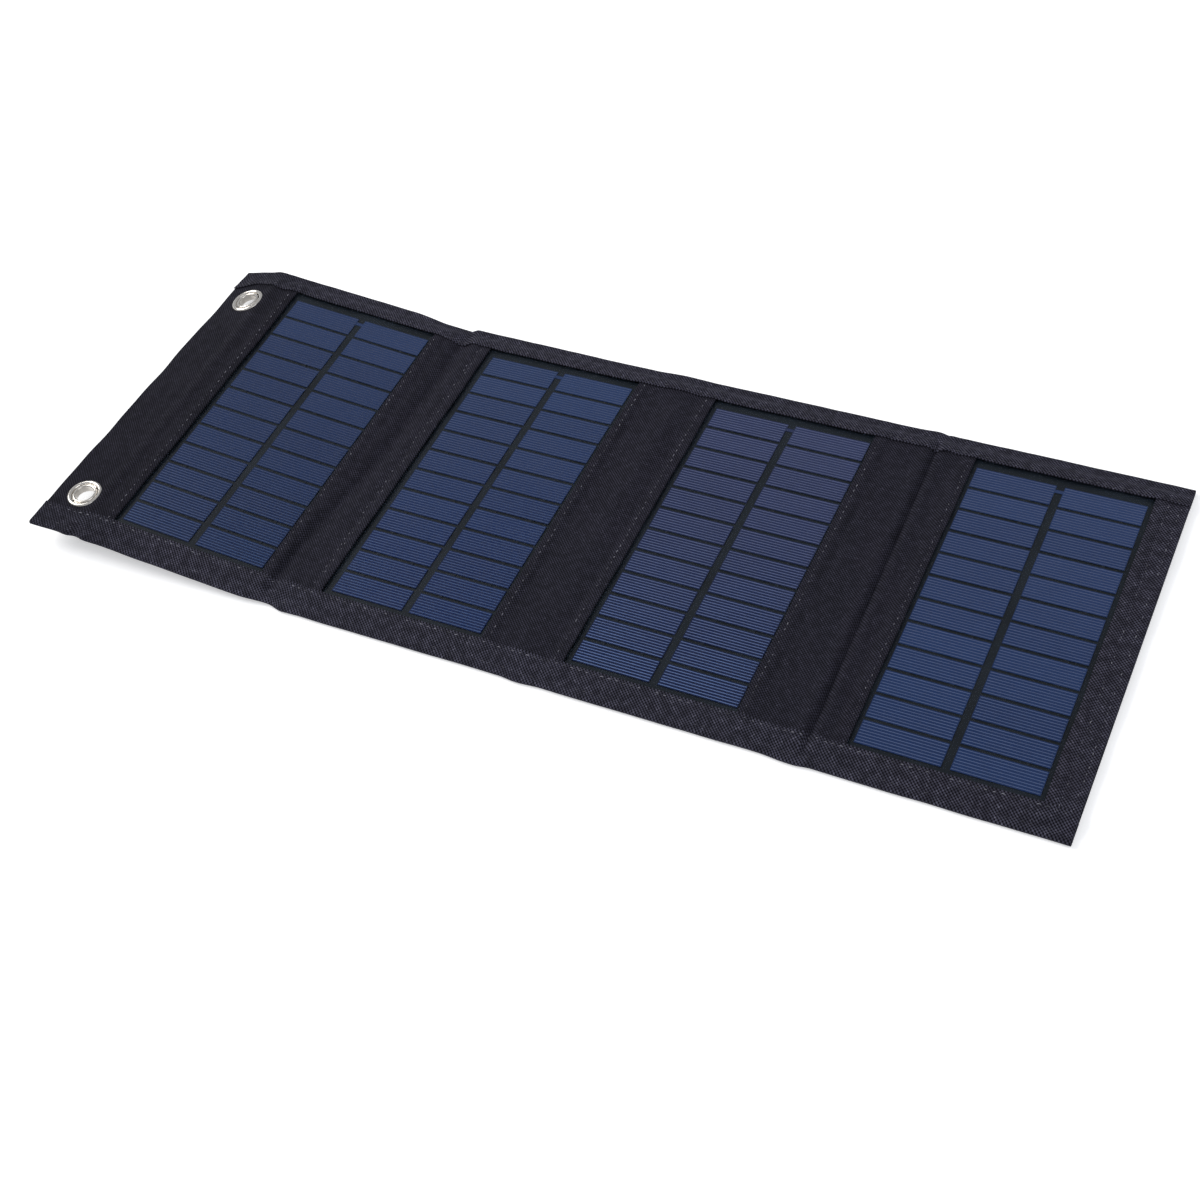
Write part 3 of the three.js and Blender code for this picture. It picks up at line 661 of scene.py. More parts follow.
def stitch_row(start, end, height_of, random, below=False):
    """Centres, headings and scales of one row of stitches on a surface, from start to end in x and y."""
    start, end = np.array(start, float), np.array(end, float)
    length = np.linalg.norm(end - start)
    heading = math.atan2(*(end - start)[::-1])
    stitches = []
    travelled = STITCH_PITCH / 2
    while travelled < length - STITCH_PITCH / 2:
        x, y = start + (end - start) * travelled / length
        z = float(height_of(np.array([x]), np.array([y]))[0])
        yaw = heading + random.normal(0, STITCH_YAW)
        size = random.uniform(*STITCH_SIZES)
        sideways = random.normal(0, STITCH_STRAY)
        z -= random.uniform(0.0, STITCH_SUNK)
        x -= sideways * math.sin(heading)
        y += sideways * math.cos(heading)
        stitches.append((x, y, z, yaw, size, -1 if below else 1))
        travelled += STITCH_PITCH * random.uniform(*STITCH_PACE)
    return stitches


def stitching(name, stitches):
    """All the stitches as one mesh."""
    points = []
    faces = []
    for x, y, z, yaw, size, upward in stitches:
        c, s = math.cos(yaw), math.sin(yaw)
        local = STITCH_POINTS * (size, 1, upward)
        start = len(points) * len(STITCH_POINTS)
        along, across, up = local.T
        turned = stacked(x + along * c - across * s, y + along * s + across * c, z + up)
        points.append(place(turned))
        faces += [tuple(start + i for i in face) for face in STITCH_FACES]
    return new_piece(name, np.vstack(points), faces)


# ---- materials ----

def srgb(red, green, blue):
    """A colour as seen on screen, 0 to 255, in linear light."""
    def linear(value):
        value /= 255.0
        return value / 12.92 if value <= 0.04045 else ((value + 0.055) / 1.055) ** 2.4
    return (linear(red), linear(green), linear(blue), 1.0)


class Look:
    """A node material, with one short call for each node."""

    def __init__(self, name):
        self.material = bpy.data.materials.new(name)
        self.material.use_nodes = True
        self.tree = self.material.node_tree
        self.shader = self.tree.nodes["Principled BSDF"]
        self.output = self.tree.nodes["Material Output"]

    def node(self, kind, settings=(), **inputs):
        """A node with its settings and inputs. An input is given by name, or as _0, _1 by place."""
        made = self.tree.nodes.new(kind)
        for key, value in dict(settings).items():
            setattr(made, key, value)
        for key, value in inputs.items():
            socket = int(key[1:]) if key.startswith("_") else key.replace("_", " ")
            self.feed(made.inputs[socket], value)
        return made

    def feed(self, socket, value):
        if isinstance(value, bpy.types.NodeSocket):
            self.tree.links.new(value, socket)
        else:
            socket.default_value = value

    def set(self, **inputs):
        for key, value in inputs.items():
            self.feed(self.shader.inputs[key.replace("_", " ")], value)

    def math(self, operation, a, b=0.0, c=0.0):
        return self.node("ShaderNodeMath", {"operation": operation}, _0=a, _1=b, _2=c).outputs[0]

    def times(self, a, b):
        return self.math("MULTIPLY", a, b)

    def split(self, vector):
        return self.node("ShaderNodeSeparateXYZ", _0=vector).outputs

    def sheet_map(self):
        """The cloth's own flat coordinates, in metres."""
        return self.node("ShaderNodeUVMap", {"uv_map": "Sheet"}).outputs[0]

    def place_map(self):
        """Coordinates of the piece as built, in metres."""
        return self.node("ShaderNodeTexCoord").outputs["Object"]

    def scaled(self, vector, x, y, z):
        scale = self.node("ShaderNodeVectorMath", {"operation": "MULTIPLY"}, _0=vector, _1=(x, y, z))
        return scale.outputs[0]

    def noise(self, vector, scale, detail=2.0, roughness=0.5):
        made = self.node("ShaderNodeTexNoise", Vector=vector, Scale=scale, Detail=detail, Roughness=roughness)
        return made.outputs["Fac"]

    def ramp(self, value, low, high, out_low=0.0, out_high=1.0):
        made = self.node("ShaderNodeMapRange", {"interpolation_type": "SMOOTHSTEP"})
        for index, number in enumerate((value, low, high, out_low, out_high)):
            self.feed(made.inputs[index], number)
        return made.outputs[0]

    def cloud(self, vector, scale, detail, low, high, out_low=0.0, out_high=1.0):
        """Soft noise, spread between two levels."""
        return self.ramp(self.noise(vector, scale, detail), low, high, out_low, out_high)

    def mix(self, share, first, second):
        made = self.node("ShaderNodeMix", {"data_type": "RGBA"})
        self.feed(made.inputs[0], share)
        self.feed(made.inputs[6], first)
        self.feed(made.inputs[7], second)
        return made.outputs[2]

    def bump(self, height, distance, strength=1.0, under=None):
        made = self.node("ShaderNodeBump", Height=height, Distance=distance, Strength=strength)
        if under is not None:
            self.feed(made.inputs["Normal"], under)
        return made.outputs[0]


# where the cloth darkens towards the flap: painted shade
PAINTED_FLAP_SHADE_SPAN = (CREASE_FLAP * MM, (CREASE_FLAP + 36.0) * MM)
PLAIN_SHARE = 0.65
TWILL_SHARE = 0.35


def oxford_cloth(name, pitch, dark, thread, fleck, contrast_patches, painted_flap_shade=0.0):
    """Charcoal oxford cloth: crossing threads, pale ones here and there, and a dusty bloom.

    The flap shade argument darkens the cloth smoothly towards the flap: painted shade where less light reaches the
    flap's end.
    """
    look = Look(name)
    sheet = look.sheet_map()
    across, along, _ = look.split(sheet)
    wander = look.times(look.math("SUBTRACT", look.noise(sheet, 260.0, 1.0), 0.5), 0.2 * MM)
    turns = math.pi / (pitch * MM)
    u = look.times(look.math("ADD", across, wander), turns)
    v = look.times(look.math("ADD", along, wander), turns)
    plain = look.times(look.math("SINE", u), look.math("SINE", v))
    twill = look.math("SINE", look.math("ADD", u, v))
    weave = look.math("ADD", look.times(plain, PLAIN_SHARE), look.times(twill, TWILL_SHARE))
    patches = look.cloud(sheet, 300.0, 2.0, 0.35, 0.65, 1.0 - contrast_patches, 1.0)
    lit = look.times(look.ramp(weave, -0.5, 0.6), patches)
    pale = look.cloud(sheet, 700.0, 1.0, 0.55, 0.75)
    bloom = look.cloud(sheet, 45.0, 3.0, 0.3, 0.75)
    color = look.mix(lit, dark, thread)
    color = look.mix(look.times(bloom, 0.12), color, srgb(48, 46, 57))
    color = look.mix(look.times(look.times(pale, lit), 0.4), color, fleck)
    # painted shade: the cloth grows darker towards the flap
    color = look.mix(look.ramp(across, *PAINTED_FLAP_SHADE_SPAN, painted_flap_shade, 0.0), color, dark)
    look.set(Base_Color=color, Roughness=look.ramp(lit, 0, 1, 0.92, 0.76), Specular_IOR_Level=0.1)
    look.set(Sheen_Weight=0.04, Sheen_Roughness=0.45, Sheen_Tint=(0.7, 0.7, 0.85, 1.0))
    slub = look.bump(look.noise(sheet, 420.0, 2.0), 0.12 * MM, 0.3)
    look.set(Normal=look.bump(weave, 0.08 * MM, 0.8, slub))
    return look.material


def thread(name, dim, bright):
    """Polyester thread. Some stitches catch the light and others lie dark in the cloth."""
    look = Look(name)
    where = look.place_map()
    fibres = look.noise(where, 2000.0, 3.0)
    catching = look.cloud(where, 230.0, 1.0, 0.36, 0.64)
    color = look.mix(catching, dim, bright)
    color = look.mix(look.ramp(fibres, 0.3, 0.7, 0.0, 0.35), color, dim)
    look.set(Base_Color=color, Roughness=look.ramp(fibres, 0.2, 0.8, 0.6, 0.85), Sheen_Weight=0.1)
    look.set(Normal=look.bump(fibres, 0.08 * MM, 0.7))
    return look.material


def laminate_board():
    """Dark slate glass-fibre laminate with a faint woven grain."""
    look = Look("Laminate_board")
    where = look.place_map()
    x, y, _ = look.split(where)
    grain = look.times(look.math("SINE", look.times(x, 5200.0)),
                      look.math("SINE", look.times(y, 5200.0)))
    cloud = look.cloud(where, 60.0, 3.0, 0.3, 0.7)
    color = look.mix(cloud, srgb(18, 24, 30), srgb(24, 31, 38))
    color = look.mix(look.ramp(grain, -1, 1, 0.0, 0.05), color, srgb(34, 42, 50))
    look.set(Base_Color=color, Roughness=look.ramp(cloud, 0, 1, 0.42, 0.55), Specular_IOR_Level=0.12)
    look.set(Coat_Weight=0.12, Coat_Roughness=0.3)
    look.set(Normal=look.bump(grain, 0.01 * MM, 0.5))
    return look.material


def silicon(number, shade, far_painted_light):
    """Navy cells. Each is a touch different, and all grow paler towards the far side: a painted sheen."""
    look = Look(f"Silicon_{number + 1}")
    where = look.place_map()
    x, y, _ = look.split(where)
    rows = look.math("MULTIPLY_ADD", y, 1 / (ROW_PITCH * MM), -GRID_NEAR / ROW_PITCH)
    pitch = COLUMN_PITCH[number]
    columns = look.math("MULTIPLY_ADD", x, 1 / (pitch * MM), -GRIDS[number][0][0] / pitch)
    row, column = look.math("FLOOR", rows), look.math("FLOOR", columns)
    cell = look.node("ShaderNodeCombineXYZ", X=row, Y=column).outputs[0]
    random = look.node("ShaderNodeTexWhiteNoise", {"noise_dimensions": "3D"}, Vector=cell).outputs[0]
    grain = look.cloud(where, 500.0, 2.0, 0.3, 0.7)
    # painted sheen: the cells pale towards the far side
    far = look.ramp(y, -HALF * MM, HALF * MM)
    color = look.mix(far, shade, far_painted_light)
    color = look.mix(look.times(random, 0.3), color, srgb(14, 22, 50))
    color = look.mix(look.times(grain, 0.08), color, srgb(44, 56, 96))
    ribbon = look.math("GREATER_THAN", look.math("FRACT", rows), (CELL_WIDTH + 0.05) / ROW_PITCH)
    color = look.mix(ribbon, color, srgb(22, 28, 36))
    look.set(Base_Color=color, Roughness=look.ramp(grain, 0, 1, 0.3, 0.42), Specular_IOR_Level=0.12)
    look.set(Coat_Weight=0.16, Coat_Roughness=0.26)
    return look.material


def conductor(name, near_painted_light, far_painted_light):
    """Printed silver lines, slightly uneven in width and brightness, that pale towards the far side: painted
    light.
    """
    look = Look(name)
    where = look.place_map()
    _, y, _ = look.split(where)
    spotty = look.ramp(look.noise(look.scaled(where, 120, 800, 800), 1.0, 2.0), 0.25, 0.75)
    broad = look.cloud(where, 25.0, 2.0, 0.3, 0.7)
    # painted light: the lines shift from their near colour to their far colour
    color = look.mix(look.ramp(y, -HALF * MM, 0.3 * HALF * MM), near_painted_light, far_painted_light)
    color = look.mix(look.times(spotty, 0.3), color, srgb(40, 50, 84))
    color = look.mix(look.times(broad, 0.2), color, srgb(84, 90, 122))
    look.set(Base_Color=color, Roughness=look.ramp(spotty, 0, 1, 0.38, 0.55), Metallic=0.35)
    return look.material


def clear_film():
    """Thin satin film: it lets most light through and lays a soft haze and a reflection over the cells."""
    look = Look("Clear_film")
    where = look.place_map()
    smudge = look.cloud(where, 30.0, 4.0, 0.3, 0.75)
    front = look.math("SUBTRACT", 1.0, look.node("ShaderNodeNewGeometry").outputs["Backfacing"])
    look.set(Alpha=look.times(look.ramp(smudge, 0, 1, 0.015, 0.035), front))
    look.set(Base_Color=look.mix(smudge, srgb(50, 58, 76), srgb(60, 68, 86)))
    look.set(Roughness=look.ramp(smudge, 0, 1, 0.26, 0.36), Specular_IOR_Level=0.5)
    look.set(Normal=look.bump(look.noise(where, 35.0, 1.0), 0.1 * MM, 0.1))
    return look.material


def metal(name, color, worn, rough_low, rough_high, dents=0.25):
    """Bare or plated metal with scuffs and fine scratches."""
    look = Look(name)
    where = look.place_map()
    scuff = look.ramp(look.noise(where, 300.0, 4.0, 0.6), 0.35, 0.75)
    scratch = look.ramp(look.noise(look.scaled(where, 200, 2600, 900), 1.0, 2.0), 0.55, 0.75)
    wear = look.math("MAXIMUM", scuff, scratch)
    look.set(Base_Color=look.mix(look.times(wear, 0.5), color, worn), Metallic=1.0)
    look.set(Roughness=look.ramp(wear, 0, 1, rough_low, rough_high))
    look.set(Normal=look.bump(scuff, 0.01 * MM, dents))
    return look.material


def plastic(name, color, worn, rough_low, rough_high, coat=0.0):
    """Moulded plastic, rubber or ferrite with a fine grain."""
    look = Look(name)
    where = look.place_map()
    pits = look.noise(where, 900.0, 2.0)
    cloud = look.cloud(where, 70.0, 3.0, 0.3, 0.7)
    look.set(Base_Color=look.mix(cloud, color, worn), Coat_Weight=coat)
    look.set(Roughness=look.ramp(pits, 0.3, 0.7, rough_low, rough_high))
    look.set(Normal=look.bump(pits, 0.03 * MM, 0.4))
    return look.material


def circuit_board():
    """Green solder mask with copper tracks just showing through."""
    look = Look("Circuit_board")
    where = look.place_map()
    tracks = look.node("ShaderNodeTexBrick", {"offset": 0.35}, Vector=where, Scale=260.0, Mortar_Size=0.03)
    track = look.ramp(tracks.outputs["Fac"], 0.2, 0.8)
    look.set(Base_Color=look.mix(track, srgb(20, 72, 40), srgb(52, 112, 66)), Roughness=0.35)
    look.set(Normal=look.bump(track, 0.03 * MM, 0.6))
    return look.material


CLOTH_LOOK = oxford_cloth("Oxford_cloth", 0.66, srgb(8, 8, 11), srgb(52, 51, 64), srgb(86, 84, 100), 0.35)
# a darker copy of the cloth for the flap's face strip: painted shade, as less light reaches the flap
SHADED_FLAP_LOOK = oxford_cloth("Oxford_flap_shaded", 0.66, srgb(5, 5, 8), srgb(41, 40, 51), srgb(70, 68, 84), 0.35)
# the hems darken towards the flap: painted shade
HEM_LOOK = oxford_cloth("Oxford_hem", 0.7, srgb(5, 5, 8), srgb(74, 73, 88), srgb(132, 130, 148), 0.45, 0.32)
THREAD_LOOK = thread("Grey_thread", srgb(48, 47, 56), srgb(132, 131, 141))
DARK_THREAD_LOOK = thread("Dark_thread", srgb(30, 29, 36), srgb(74, 73, 82))
NICKEL_LOOK = metal("Nickel_plate", srgb(216, 212, 206), srgb(182, 175, 165), 0.1, 0.2, 0.03)
LEAD_LOOK = plastic("Lead_jacket", srgb(26, 26, 28), srgb(38, 38, 42), 0.45, 0.65)
PLAIN_LOOKS = {
    "black_plastic": plastic("Black_plastic", srgb(24, 24, 26), srgb(34, 34, 37), 0.4, 0.6),
    "circuit_board": circuit_board(),
    "tinned_steel": metal("Tinned_steel", srgb(204, 206, 208), srgb(160, 160, 158), 0.22, 0.38),
    "white_plastic": plastic("White_plastic", srgb(214, 213, 206), srgb(200, 198, 190), 0.35, 0.5),
    "ferrite": plastic("Ferrite", srgb(50, 50, 53), srgb(66, 65, 66), 0.55, 0.8),
    "capacitor_can": metal("Capacitor_can", srgb(196, 197, 200), srgb(150, 150, 152), 0.25, 0.4),
    "red_lens": plastic("Red_lens", srgb(150, 24, 20), srgb(170, 34, 26), 0.15, 0.25, coat=0.5),
    "lead_jacket": LEAD_LOOK,
    "laminate_board": laminate_board(),
    "clear_film": clear_film(),
    "nickel_plate": NICKEL_LOOK,
}
# second colour of each: the far side's painted sheen
SILICON_LOOKS = [
    silicon(0, srgb(7, 29, 66), srgb(42, 59, 95)),
    silicon(1, srgb(9, 29, 71), srgb(40, 58, 95)),
    silicon(2, srgb(8, 25, 61), srgb(46, 54, 86)),
    silicon(3, srgb(28, 50, 90), srgb(42, 60, 98)),
]
# near and far colours of the lines: a painted light gradient
CONDUCTOR_LOOKS = [
    conductor("Conductor_1", srgb(50, 76, 118), srgb(46, 62, 98)),
    conductor("Conductor_2", srgb(60, 86, 130), srgb(62, 80, 118)),
    conductor("Conductor_3", srgb(98, 124, 174), srgb(90, 100, 138)),
    conductor("Conductor_4", srgb(76, 96, 138), srgb(76, 90, 128)),
]


def wear_look(piece, look):
    """Gives a piece its material."""
    piece.data.materials.clear()
    piece.data.materials.append(look)
    return piece


# ---- CAD nodes that stay ----

SLOT_OF_NODE = {row["node"]: row["material_slot"] for row in frame["record"]["subparts"]}
for node_name, node_object in NODES.items():
    slot_name = SLOT_OF_NODE[node_name]
    if slot_name in PLAIN_LOOKS:
        wear_look(node_object, PLAIN_LOOKS[slot_name])
for number in range(4):
    wear_look(NODES[f"panel_{number + 1}_cells"], SILICON_LOOKS[number])


# ---- conductor lines on the cells ----

LINES_PER_CELL = 8
LINE_WIDTH = 0.34
LINE_END = 0.3
LINE_LOW = 0.01
LINE_HIGH = 0.04


def bar(x_low, x_high, y_low, y_high, z_low, z_high):
    """Corners and faces of a plain box."""
    corners = [(x, y, z) for z in (z_low, z_high) for y in (y_low, y_high) for x in (x_low, x_high)]
    faces = [(0, 2, 3, 1), (4, 5, 7, 6), (0, 1, 5, 4), (2, 6, 7, 3), (0, 4, 6, 2), (1, 3, 7, 5)]
    return corners, faces


def conductor_lines(number):
    """Eight printed lines along every cell of a panel, with their ends just short of the cell's edges."""
    left = GRIDS[number][0][0]
    line_pitch = CELL_WIDTH / LINES_PER_CELL
    points, faces = [], []
    for column, row, line in np.ndindex(CELL_COLUMNS, CELL_ROWS, LINES_PER_CELL):
        y = GRID_NEAR + row * ROW_PITCH + (line + 0.5) * line_pitch
        x = left + column * COLUMN_PITCH[number]
        bar_points, bar_faces = bar(x + LINE_END, x + CELL_LENGTH - LINE_END, y - LINE_WIDTH / 2,
                                    y + LINE_WIDTH / 2, CELL_TOP + LINE_LOW, CELL_TOP + LINE_HIGH)
        faces += [tuple(i + len(points) for i in face) for face in bar_faces]
        points += bar_points
    piece = new_piece(f"conductor_lines_{number + 1}", place(np.array(points)), faces)
    piece.data.polygons.foreach_set("use_smooth", [False] * len(piece.data.polygons))
    wear_look(piece, CONDUCTOR_LOOKS[number])
    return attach(piece, f"section_{number + 1}")


for number in range(4):
    conductor_lines(number)


# ---- sew the mat together ----

BODIES = ["flap", "section_1", "section_2", "section_3", "section_4"]
CREASES = [CREASE_FLAP, CREASE_12, CREASE_23, CREASE_34]
ZONE_WORDS = ["flap", "1_2", "2_3", "3_4", "end"]
ZONE_ENDS = [FLAP_LEFT, *PANEL_MIDDLE, MAT_RIGHT]


def join_bodies(piece, zone):
    """Puts a piece on section 4 past the last crease; any other piece only has its placing baked into its mesh."""
    if zone == len(CREASES):
        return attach(piece, "section_4")
    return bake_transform(piece)


def cloth_piece(piece, look, zone, held, flat, rests_on, *nodes):
    """Finishes a cloth: its material, its place as join_bodies gives it, and the nodes it stands for, which it
    hides. Its sheet size (flat) is not used.
    """
    wear_look(piece, look)
    join_bodies(piece, zone)
    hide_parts(*nodes)
    return piece


STRIP_LOOKS = [SHADED_FLAP_LOOK, CLOTH_LOOK, CLOTH_LOOK, CLOTH_LOOK, HEM_LOOK]
STRIP_NODES = [
    ["flap_face_cloth", "section_1_left_strip"],
    *([f"section_{n}_right_strip", f"section_{n + 1}_left_strip"] for n in (1, 2, 3)),
    ["section_4_right_strip"],
]
HEM_WIDTH = HEM_BACK_WIDTH + HEM_FACE_WIDTH + HEM_HIDDEN_WIDTH

for zone, word in enumerate(ZONE_WORDS):
    first, last = zone == 0, zone == len(CREASES)
    zone_left, zone_right = ZONE_ENDS[zone], ZONE_ENDS[zone + 1]
    zone_length = (zone_right - zone_left) * MM
    rests = [f"panel_{n}_board" for n in (zone, zone + 1) if 1 <= n <= 4]

    strip_left = FLAP_LEFT if first else WINDOW_RIGHT[zone - 1]
    strip_right = MAT_RIGHT if last else WINDOW_LEFT[zone]
    strip = face_strip(f"face_strip_{word}", strip_left, strip_right)
    turned_edges = 1 if first or last else 2
    strip_flat = ((strip_right - strip_left + turned_edges * FOLD_UNDER) * MM, 2 * STRIP_HALF * MM)
    cloth_piece(strip, STRIP_LOOKS[zone], zone, "stretched", strip_flat, rests, *STRIP_NODES[zone])

    back = back_cloth(f"back_cloth_{word}", zone_left, zone_right)
    back_flat = (zone_length, 2 * STRIP_HALF * MM)
    cloth_piece(back, CLOTH_LOOK, zone, "stretched", back_flat, rests, f"{BODIES[zone]}_back_cloth")

    for side, side_word in ((-1, "near"), (1, "far")):
        edge = hem(f"{side_word}_hem_{word}", zone_left, zone_right, side)
        hem_flat = (zone_length, HEM_WIDTH * MM)
        cloth_piece(edge, HEM_LOOK, zone, "folded", hem_flat, rests, f"{BODIES[zone]}_{side_word}_hem")


# ---- rows of stitches ----

# distance of each row from a window's edge, left and right of each window
ROWS_LEFT = [[2.8], [3.7, 5.3], [3.6], [2.1]]
ROWS_RIGHT = [[1.6], [2.7], [2.4], [5.1, 9.9]]
ROW_NEAR = WINDOW_NEAR - 0.6
ROW_FAR = WINDOW_FAR + 0.8
# rows along the hems: (side, share of the way from the inner edge to the outline)
HEM_ROWS = [(-1, 0.14)]
DARK_HEM_ROWS = [(-1, 0.8), (1, 0.16)]
HEM_ROW_INSET_LEFT = 1.5 + STITCH_PITCH * 0.7
HEM_ROW_INSET_RIGHT = 1.0 + STITCH_PITCH * 0.6
HEM_STITCH_WANDER = 0.006
HEM_STITCH_YAW = 0.12


def side_rows(number, random):
    """The rows beside one window, through the face strips."""
    rows = []
    for edge, outward, offsets in ((WINDOW_LEFT[number], -1, ROWS_LEFT[number]),
                                   (WINDOW_RIGHT[number], 1, ROWS_RIGHT[number])):
        for offset in offsets:
            x = edge + outward * offset
            rows += stitch_row((x, ROW_NEAR), (x, ROW_FAR), face_top, random)
    return rows


def back_face(x, y):
    """Height of the back cloth's lower face."""
    return np.full(x.shape, BACK_LOW)


def back_rows(number, random):
    """The first row on each side, where it comes out through the back cloth."""
    rows = []
    for x in (WINDOW_LEFT[number] - ROWS_LEFT[number][0], WINDOW_RIGHT[number] + ROWS_RIGHT[number][0]):
        rows += stitch_row((x, ROW_NEAR + 2), (x, ROW_FAR - 2), back_face, random, below=True)
    return rows


for number in range(4):
    random = np.random.default_rng(100 + number)
    rows = stitching(f"window_stitches_{number + 1}", side_rows(number, random) + back_rows(number, random))
    wear_look(rows, THREAD_LOOK)
    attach(rows, f"section_{number + 1}")


def hem_row(left, right, side, w, random):
    """A row along a hem's face, a share w of the way from its inner edge to the outline."""
    stitches = []
    x = left
    while x < right:
        y, z = hem_face(np.array([x]), np.array([w + random.normal(0, HEM_STITCH_WANDER)]), side)
        size = random.uniform(*HEM_STITCH_SIZES)
        height = float(z[0]) - random.uniform(0.0, STITCH_SUNK)
        stitches.append((x, side * float(y[0]), height, random.normal(0, HEM_STITCH_YAW), size, 1))
        x += STITCH_PITCH * random.uniform(*STITCH_PACE)
    return stitches


def hem_stitches(name, zone, rows, look, seed):
    """A zone's rows along its hems."""
    random = np.random.default_rng(seed)
    stitches = []
    for side, w in rows:
        left, right = ZONE_ENDS[zone] + HEM_ROW_INSET_LEFT, ZONE_ENDS[zone + 1] - HEM_ROW_INSET_RIGHT
        stitches += hem_row(left, right, side, w, random)
    piece = stitching(name, stitches)
    wear_look(piece, look)
    join_bodies(piece, zone)


for zone, word in enumerate(ZONE_WORDS):
    hem_stitches(f"hem_stitches_{word}", zone, HEM_ROWS, THREAD_LOOK, 200 + zone)
    hem_stitches(f"dark_hem_stitches_{word}", zone, DARK_HEM_ROWS, DARK_THREAD_LOOK, 220 + zone)


# ---- eyelets ----

EYELET_BORE = 4.0
EYELET_FLANGE = 7.5
EYELET_WALL = 0.35
EYELET_CROWN = 0.95
EYELET_DISH = 0.1
EYELET_THROAT = 0.6
EYELET_CLINCH = 0.7
EYELET_SEGMENTS = 96
WASHER_THICKNESS = 0.5
WASHER_RIM = 0.3


def lathe(name, profile, transform):
    """A ring turned about Z from a closed [radius, z] profile, then put in place."""
    count = len(profile)
    angles = [2 * math.pi * segment / EYELET_SEGMENTS for segment in range(EYELET_SEGMENTS)]
    points = [(r * math.cos(angle), r * math.sin(angle), z) for angle in angles for r, z in profile]
    faces = []
    for segment, i in np.ndindex(EYELET_SEGMENTS, count):
        here = segment * count
        following = (segment + 1) % EYELET_SEGMENTS * count
        j = (i + 1) % count
        faces.append((here + i, following + i, following + j, here + j))
    return new_piece(name, transform(np.array(points)), faces)


def arc(center_r, center_z, radius, start, end, steps):
    """Part of a circle in a profile, from start to end in degrees."""
    angles = np.radians(np.linspace(start, end, steps))
    return [(center_r + radius * math.cos(a), center_z + radius * math.sin(a)) for a in angles]


def eyelet_profile(face, back):
    """A rolled eyelet: crowned flange, dished groove, throat's raised lip, clinched rim and barrel."""
    crown = arc(EYELET_FLANGE - EYELET_CROWN, face - 0.05, EYELET_CROWN, 0, 172, 16)
    dish = [(EYELET_BORE + 1.45, face - EYELET_DISH), (EYELET_BORE + 1.2, face - EYELET_DISH)]
    throat = arc(EYELET_BORE + EYELET_THROAT, face + 0.15, EYELET_THROAT, 20, 180, 12)
    clinch = arc(EYELET_BORE + EYELET_CLINCH, back - 0.25, EYELET_CLINCH, 180, 360, 9)
    barrel = EYELET_BORE + EYELET_WALL + 0.2
    inside = [(barrel, back), (barrel, face - 0.2), (EYELET_FLANGE - 0.2, face - 0.2)]
    return crown + dish + throat + clinch + inside


def washer_profile(high):
    """A flat washer with a rounded rim. Its upper face is at high."""
    inner = EYELET_BORE + 0.8
    outer = arc(EYELET_FLANGE - 0.35, high - WASHER_RIM, WASHER_RIM, 60, -60, 6)
    return [(inner, high)] + outer + [(inner, high - WASHER_THICKNESS)]


def at_eyelet(side):
    """Puts points made about Z at an eyelet's place, square to the drooping flap."""
    y = side * EYELET_Y
    def transform(points):
        x, z = points[:, 0] - EYELET_FROM_CREASE, points[:, 2] - FLAP_CREASE_Z
        x, z = turn(x, z, 0.0, 0.0, -FLAP_TWIST * y / WIDTH)
        x, z = turn(x + CREASE_FLAP, z + FLAP_CREASE_Z, CREASE_FLAP, FLAP_AXIS_Z, -FLAP_DROOP)
        x, z = turn(x, z, CREASE_12, VALLEY_AXIS_Z, SECTION_TILT)
        return stacked(x, points[:, 1] + y, z)
    return transform


for side, side_word in ((-1, "near"), (1, "far")):
    profile = eyelet_profile(FLAP_FACE_TOP + 0.02, BACK_LOW - 0.5)
    rim = lathe(f"rolled_eyelet_{side_word}", profile, at_eyelet(side))
    wear_look(rim, NICKEL_LOOK)
    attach(rim, "flap")
    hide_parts(f"eyelet_{side_word}")
    washer = lathe(f"washer_{side_word}", washer_profile(BACK_LOW - 0.02), at_eyelet(side))
    wear_look(washer, NICKEL_LOOK)
    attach(washer, "flap")
    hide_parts(f"eyelet_washer_{side_word}")


# ---- leads under the cloth, across the creases ----

LEAD_WIDTH = 5.0
LEAD_THICKNESS = 0.3
LEAD_Y = 40.0
LEAD_Z = 1.35
LEAD_GAP = 0.3
LEAD_EDGE = 0.08
LEAD_STATIONS = (40, 9)


def lead(zone):
    """A flat ribbon from one board to the next."""
    xs = np.linspace(BOARD_RIGHT[zone - 1] + LEAD_GAP, BOARD_LEFT[zone] - LEAD_GAP, LEAD_STATIONS[0])
    ys = LEAD_Y + np.linspace(-0.5, 0.5, LEAD_STATIONS[1]) * LEAD_WIDTH
    x, y = np.meshgrid(xs, ys, indexing="ij")
    edge = LEAD_WIDTH / 2 - np.abs(y - LEAD_Y)
    thickness = np.minimum(LEAD_THICKNESS, LEAD_EDGE + edge)
    name = f"ribbon_lead_{ZONE_WORDS[zone]}"
    ribbon = thick_sheet(name, stacked(x, y, LEAD_Z), thickness, stacked(x, y))
    wear_look(ribbon, LEAD_LOOK)
    join_bodies(ribbon, zone)
    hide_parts(f"lead_{ZONE_WORDS[zone]}")


for zone in (1, 2, 3):
    lead(zone)


# ---- controller's sleeve, under section 1 ----

SLEEVE_LEFT = CREASE_FLAP + 0.3
SLEEVE_RIGHT = CREASE_FLAP + 18.5
SLEEVE_HALF_LENGTH = 32.0
SLEEVE_DEPTH = 7.5
SLEEVE_FLANGE = 5.0
SLEEVE_CORNER = 1.4
SLEEVE_STEP = 0.7
SLEEVE_ROWS = 60
THINNEST_EDGE = 0.04
SLEEVE_TOP = BACK_LOW - 0.05


